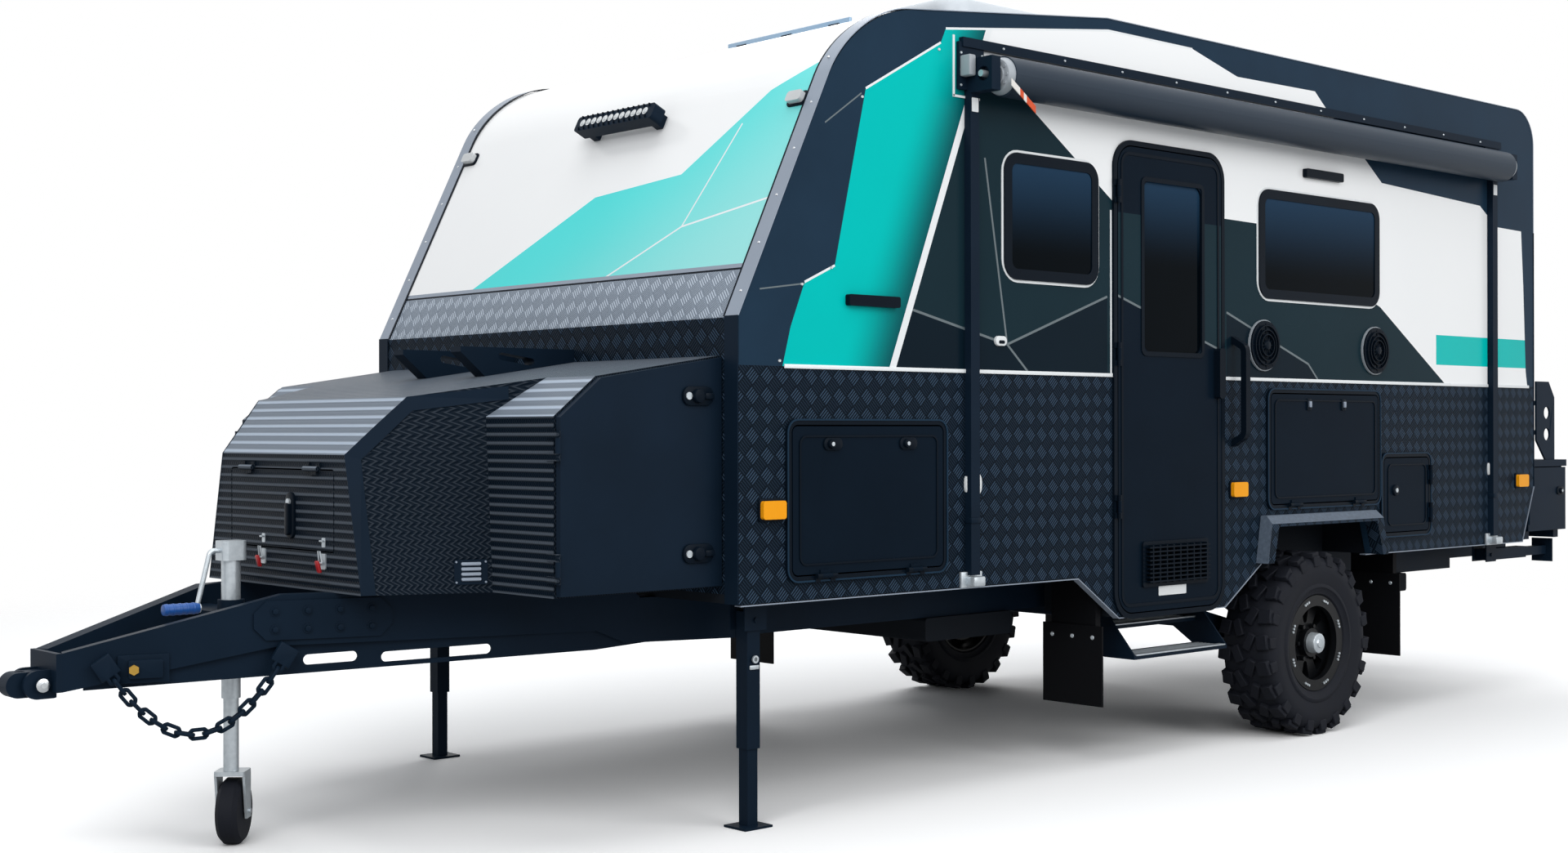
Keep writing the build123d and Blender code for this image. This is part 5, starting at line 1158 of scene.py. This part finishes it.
# Light bar: a row of lenses with cooling fins over and under them
lightBar = dict(place=(2.9883, 0.070, 2.4760), leds=12, pitch=0.0345, radius=0.0148, finY=0.0245, finZ=0.003)
shape = bmesh.new()
barFace = facing(at(*lightBar["place"]), lamps["rake"])
out = Vector(lamps["rake"])
for number in range(lightBar["leds"]):
    radius = lightBar["radius"]
    led = barFace @ Vector(((number - (lightBar["leds"] - 1) / 2) * lightBar["pitch"], 0, 0))
    addRod(shape, led - out * 0.002, out * 0.005, radius)
    addRod(shape, led + out * 0.002, out * 0.004, radius * 0.8, radius * 0.5, finish=1)
finSize = Vector((0.006, 0.004, 0.012))
for number in range(lightBar["leds"] + 2):
    x = (number - (lightBar["leds"] + 1) / 2) * lightBar["pitch"] * 0.9
    for edge in (-1, 1):
        fin = barFace @ Vector((x, edge * lightBar["finY"], lightBar["finZ"]))
        addBlock(shape, fin - finSize / 2, finSize, finish=2)
addPiece("lightBarLenses", shape, ["brightSteel", "clearLens", "frameBlack"])
print("lamps dressed")

# Drawbar: bolts and washers through the doubler plates
drawbar = dict(
    nose=(5.063, 0.100), angle=18, boltOut=0.006, boltRows=(0.703, 0.759), boltRuns=(0.62, 0.72, 0.82, 0.92)
)


def onBar(run, z, out, side=1):
    turn = radians(drawbar["angle"])
    x = drawbar["nose"][0] - run * cos(turn) + out * sin(turn)
    y = drawbar["nose"][1] + run * sin(turn) + out * cos(turn)
    return at(x, side * y, z)


shape = bmesh.new()
for side in (1, -1):
    outward = onBar(0, 0, 1, side) - onBar(0, 0, 0, side)
    for z in drawbar["boltRows"]:
        for run in drawbar["boltRuns"]:
            start = onBar(run, z, drawbar["boltOut"], side)
            addRod(shape, start, outward * 0.004, 0.016)
            addRod(shape, start, outward * 0.012, 0.010, segments=6, bevel=0.001)
addPiece("doublerBolts", shape, ["powderCoat"])

# Chain: the links' square bars swelled and rounded to wire
chain = dict(swell=0.0028, rounding=0.0035, sharpAngle=20)
shape = nodeShape("safety_chain")
shape.normal_update()
for vert in shape.verts:
    vert.co += vert.normal * chain["swell"]
sharp = [e for e in shape.edges if e.calc_face_angle(0) > radians(chain["sharpAngle"])]
roundEdges(shape, sharp, chain["rounding"])
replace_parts(addPiece("chainLinks", shape, ["powderCoat"]), "safety_chain")

# The chain's anchor on the left rail, and the coupling's pin caps
anchor = dict(
    z=0.602, plateRun=0.23, plate=(0.15, 0.085, 0.008, 0.004), padRun=0.235, pad=(0.10, 0.055, 0.016, 0.006),
    boltRun=0.200, boltRadius=0.016, pin=(5.111, 0.072, 0.565), capRadius=0.021, nutRadius=0.009,
)
shape = bmesh.new()
z = anchor["z"]
outward = onBar(0, 0, 1) - onBar(0, 0, 0)
addPlate(shape, facing(onBar(anchor["plateRun"], z, 0.0), outward), *anchor["plate"], bevel=0.001)
addPlate(shape, facing(onBar(anchor["padRun"], z, 0.008), outward), *anchor["pad"], bevel=0.002)
bolt = onBar(anchor["boltRun"], z, 0.022)
addRod(shape, bolt, outward * 0.012, anchor["boltRadius"], segments=6, finish=1)
for side in (1, -1):
    x, y, z = anchor["pin"]
    pin = at(x, side * y, z)
    addRod(shape, pin, (0, side * 0.008, 0), anchor["capRadius"], segments=24, bevel=0.002, finish=2)
    addRod(shape, pin, (0, side * 0.012, 0), anchor["nutRadius"], segments=6, finish=2)
addPiece("chainAnchor", shape, ["powderCoat", "yellowZinc", "brightSteel"])

# Crank grip: a ribbed sleeve on the handle's end
grip = dict(
    long=0.118, past=0.003, radius=0.0175, up=0.015, ribs=5, ribFrom=0.100, ribPitch=0.022, ribRadius=0.0187
)
crankLow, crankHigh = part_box("jockey_crank")
tip = Vector((crankHigh[0], (crankLow[1] + crankHigh[1]) / 2, crankLow[2] + grip["up"]))
shape = bmesh.new()
start = tip - Vector((grip["long"] - grip["past"], 0, 0))
addRod(shape, start, (grip["long"], 0, 0), grip["radius"], segments=24, bevel=0.003)
for number in range(grip["ribs"]):
    start = tip + Vector((number * grip["ribPitch"] - grip["ribFrom"], 0, 0))
    addRod(shape, start, (0.008, 0, 0), grip["ribRadius"], segments=24, bevel=0.001)
addPiece("crankGrip", shape, ["bluePlastic"])

# Front legs: a zinc height pin with its head and clip
legs = dict(x=3.100, y=0.949, pinZ=0.560, pin=0.007, head=0.013, clip=(0.040, 0.005, 0.014))
for side, name in sides:
    shape = bmesh.new()
    x, y, z = legs["x"], legs["y"], legs["pinZ"]
    clipX, clipY, clipZ = legs["clip"]
    addRod(shape, at(x, side * (y - 0.036), z), (0, side * 0.076, 0), legs["pin"], segments=12)
    addRod(shape, at(x, side * (y + 0.034), z), (0, side * 0.006, 0), legs["head"], segments=16)
    addBlock(shape, at(x - clipX / 2, side * (y + 0.029), z - 0.034), (clipX, side * clipY, clipZ), 0.002)
    addPiece("legPin_front_" + name, shape, ["zincPlate"], "leg_front_" + name)
print("drawbar and legs dressed")

# Entry step: bright nosings with grip ribs
step = dict(
    x=0.900, half=0.296, noses=((0.935, 0.535), (1.085, 0.430)), deep=0.033, high=0.006, ribs=5,
    ribStart=0.048, ribPitch=0.018, ribInset=0.02,
)
shape = bmesh.new()
for y, z in step["noses"]:
    low = step["x"] - step["half"]
    long = 2 * step["half"]
    addBlock(shape, at(low, y - 0.030, z - 0.002), (long, step["deep"], step["high"]), 0.002)
    for number in range(step["ribs"]):
        ribY = y - step["ribStart"] - number * step["ribPitch"]
        corner = at(low + step["ribInset"], ribY, z - 0.001)
        addBlock(shape, corner, (long - 2 * step["ribInset"], 0.006, 0.0035))
addPiece("stepNosings", shape, ["zincPlate"])

# Mud flaps: three bolts along the top of each bare rubber sheet
flaps = dict(
    places=((1.420, 0.950, 0.560), (-0.800, 0.915, 0.650)), bolts=(-0.1, 0, 0.1), drop=0.045, bolt=0.009
)
shape = bmesh.new()
for side in (1, -1):
    for x, y, top in flaps["places"]:
        places = [at(x + 0.004, side * (y + shift), top - flaps["drop"]) for shift in flaps["bolts"]]
        addScrews(shape, places, (1, 0, 0), flaps["bolt"])
addPiece("flapBolts", shape, ["zincPlate"])

# Screws along the corner moulds, the band's edge and the front plate
mouldScrews = dict(
    rakeLow=(3.276, 1.687), rakeHigh=(2.76, 2.749), rakeCount=6, rakeSpread=6.6, rakeLift=(0.003, 0, 0.0015),
    band=((3.10, 1.545), (3.00, 1.80), (2.865, 1.862), (2.72, 2.45), (2.34, 2.66)),
    frontX=3.2775, frontLow=0.86, frontPitch=0.16, frontCount=5, plate=(3.279, 1.06, 1.60), radius=0.006,
)
shape = bmesh.new()
for side in (1, -1):
    lowX, lowZ = mouldScrews["rakeLow"]
    highX, highZ = mouldScrews["rakeHigh"]
    slope = Vector((highX - lowX, 0, highZ - lowZ))
    start = at(lowX, side * (wallY - 0.03), lowZ) + Vector(mouldScrews["rakeLift"])
    shares = [(number + 0.5) / mouldScrews["rakeSpread"] for number in range(mouldScrews["rakeCount"])]
    addScrews(shape, [start + slope * share for share in shares], (slope.z, 0, -slope.x), 0.0055)
    places = [at(x, side * (wallY + 0.001), z) for x, z in mouldScrews["band"]]
    addScrews(shape, places, (0, side, 0), mouldScrews["radius"])
    numbers = range(mouldScrews["frontCount"])
    heights = [mouldScrews["frontLow"] + number * mouldScrews["frontPitch"] for number in numbers]
    places = [at(mouldScrews["frontX"], side * (wallY - 0.012), z) for z in heights]
    addScrews(shape, places, (1, 0, 0), mouldScrews["radius"])
addPiece("mouldScrews", shape, ["brightSteel"])
shape = bmesh.new()
x, y, z = mouldScrews["plate"]
addScrews(shape, [at(x, -y, z), at(x, y, z)], (1, 0, 0), mouldScrews["radius"])
addPiece("plateScrews", shape, ["brightSteel"])

# Roof: front rail of the solar panel on its feet, and the cooler's side slots
solar = dict(
    x=2.006, low=-0.430, high=0.310, railLow=2.896, railHigh=2.949, railDeep=0.014, feet=(0.12, 0.5, 0.88)
)
shape = bmesh.new()
long = solar["high"] - solar["low"]
tall = solar["railHigh"] - solar["railLow"]
corner = at(solar["x"] - solar["railDeep"], solar["low"], solar["railLow"])
addBlock(shape, corner, (solar["railDeep"], long, tall), 0.003)
for share in solar["feet"]:
    corner = at(solar["x"] - 0.004, solar["low"] + share * long - 0.030, solar["railLow"] - 0.02)
    addBlock(shape, corner, (0.008, 0.060, tall + 0.004), finish=1)
addPiece("solarRail", shape, ["railBlue", "frameBlack"])
cooler = dict(slots=7, start=0.2, pitch=0.05, up=0.05, sunk=0.020, slot=(0.02, 0.016, 0.08))
coolerLow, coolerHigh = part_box("air_conditioner")
slotX, slotY, slotZ = cooler["slot"]
shape = bmesh.new()
for number in range(cooler["slots"]):
    x = coolerLow[0] + cooler["start"] + number * cooler["pitch"]
    for side, y in ((1, coolerHigh[1]), (-1, coolerLow[1])):
        corner = Vector((x, y - side * cooler["sunk"], coolerLow[2] + cooler["up"]))
        addBlock(shape, corner, (slotX, side * slotY, slotZ), 0.003)
addPiece("coolerSlots", shape, ["frameBlack"])
print("small fittings placed")

# Floor: seamless paper that fades into the backdrop
studio = dict(radius=14.0, fadeFrom=4.6, fadeTo=10.0, bounce=0.55, shown=1.22)
shape = bmesh.new()
bmesh.ops.create_circle(shape, cap_ends=True, segments=96, radius=studio["radius"])
floorMesh = bpy.data.meshes.new("studioFloor")
shape.to_mesh(floorMesh)
shape.free()
floor = bpy.data.objects.new("studioFloor", floorMesh)
scene.collection.objects.link(floor)
paper = bpy.data.materials.new("studioPaper")
paper.use_nodes = True
tree = paper.node_tree
tree.nodes.clear()
place = addNode(tree, "TexCoord", {}, "Object")
away = addNode(tree, "VectorMath", {"operation": "LENGTH", 0: place}, "Value")
limits = {"From Min": studio["fadeFrom"], "From Max": studio["fadeTo"]}
fade = addNode(tree, "MapRange", {"interpolation_type": "SMOOTHSTEP", "Value": away, **limits})
bounce = addNode(tree, "BsdfDiffuse", {"Color": [studio["bounce"]] * 3 + [1]})
shownPaper = addNode(tree, "BsdfDiffuse", {"Color": [studio["shown"]] * 3 + [1]})
cameraRay = addNode(tree, "LightPath", {}, "Is Camera Ray")
lit = addNode(tree, "MixShader", {0: cameraRay, 1: bounce, 2: shownPaper})
mixed = addNode(tree, "MixShader", {0: fade, 1: lit, 2: addNode(tree, "BsdfTransparent", {})})
tree.links.new(mixed, tree.nodes.new("ShaderNodeOutputMaterial").inputs["Surface"])
floorMesh.materials.append(paper)

# World: a soft ambient, and a white backdrop for the camera, glass and gloss
world = bpy.data.worlds.new("studio")
world.use_nodes = True
scene.world = world
tree = world.node_tree
tree.nodes.clear()
seen = addNode(tree, "LightPath", {}, "Is Camera Ray")
for ray in ("Is Transmission Ray", "Is Glossy Ray"):
    seen = addNode(tree, "Math", {"operation": "MAXIMUM", 0: seen, 1: addNode(tree, "LightPath", {}, ray)})
ambient = addNode(tree, "Background", {"Color": (0.93, 0.96, 1.0, 1), "Strength": 0.38})
backdrop = addNode(tree, "Background", {"Color": (1, 1, 1, 1), "Strength": 1.0})
shown = addNode(tree, "MixShader", {0: seen, 1: ambient, 2: backdrop})
tree.links.new(shown, tree.nodes.new("ShaderNodeOutputWorld").inputs["Surface"])

softboxes = [
    dict(name="keyBox", place=(9.5, 6.5, 7.5), aim=(1.0, 0.6, 1.2), size=7.0, watts=590),
    dict(name="sideBox", place=(-1.0, 10.5, 6.0), aim=(-0.2, 0.0, 1.2), size=8.0, watts=460),
    dict(name="topBox", place=(0.5, 0.0, 9.0), aim=(0.5, 0.0, 0.0), size=9.0, watts=380),
    dict(name="backBox", place=(-7.0, -7.0, 6.0), aim=(0.0, 0.0, 1.2), size=7.0, watts=430),
]
for box in softboxes:
    lamp = bpy.data.lights.new(box["name"], "AREA")
    lamp.energy = box["watts"]
    lamp.size = box["size"]
    holder = bpy.data.objects.new(box["name"], lamp)
    holder.location = box["place"]
    holder.rotation_euler = (Vector(box["aim"]) - Vector(box["place"])).to_track_quat("-Z", "Y").to_euler()
    scene.collection.objects.link(holder)

# Camera: solved from the wheel, the wall's edges and the door; angles in degrees
view = dict(place=(5.977, 5.7845, 1.320), yaw=227.853, pitch=0.093, roll=-0.089, lens=44.743)
yaw, pitch = radians(view["yaw"]), radians(view["pitch"])
look = Vector((cos(pitch) * cos(yaw), cos(pitch) * sin(yaw), sin(pitch)))
lensData = bpy.data.cameras.new("photoView")
lensData.sensor_fit = "HORIZONTAL"
lensData.sensor_width = 36
lensData.lens = view["lens"]
camera = bpy.data.objects.new("photoView", lensData)
camera.location = view["place"]
roll = Quaternion((0, 0, 1), radians(view["roll"]))
camera.rotation_euler = (look.to_track_quat("-Z", "Y") @ roll).to_euler()
scene.collection.objects.link(camera)
scene.camera = camera
print("studio ready")
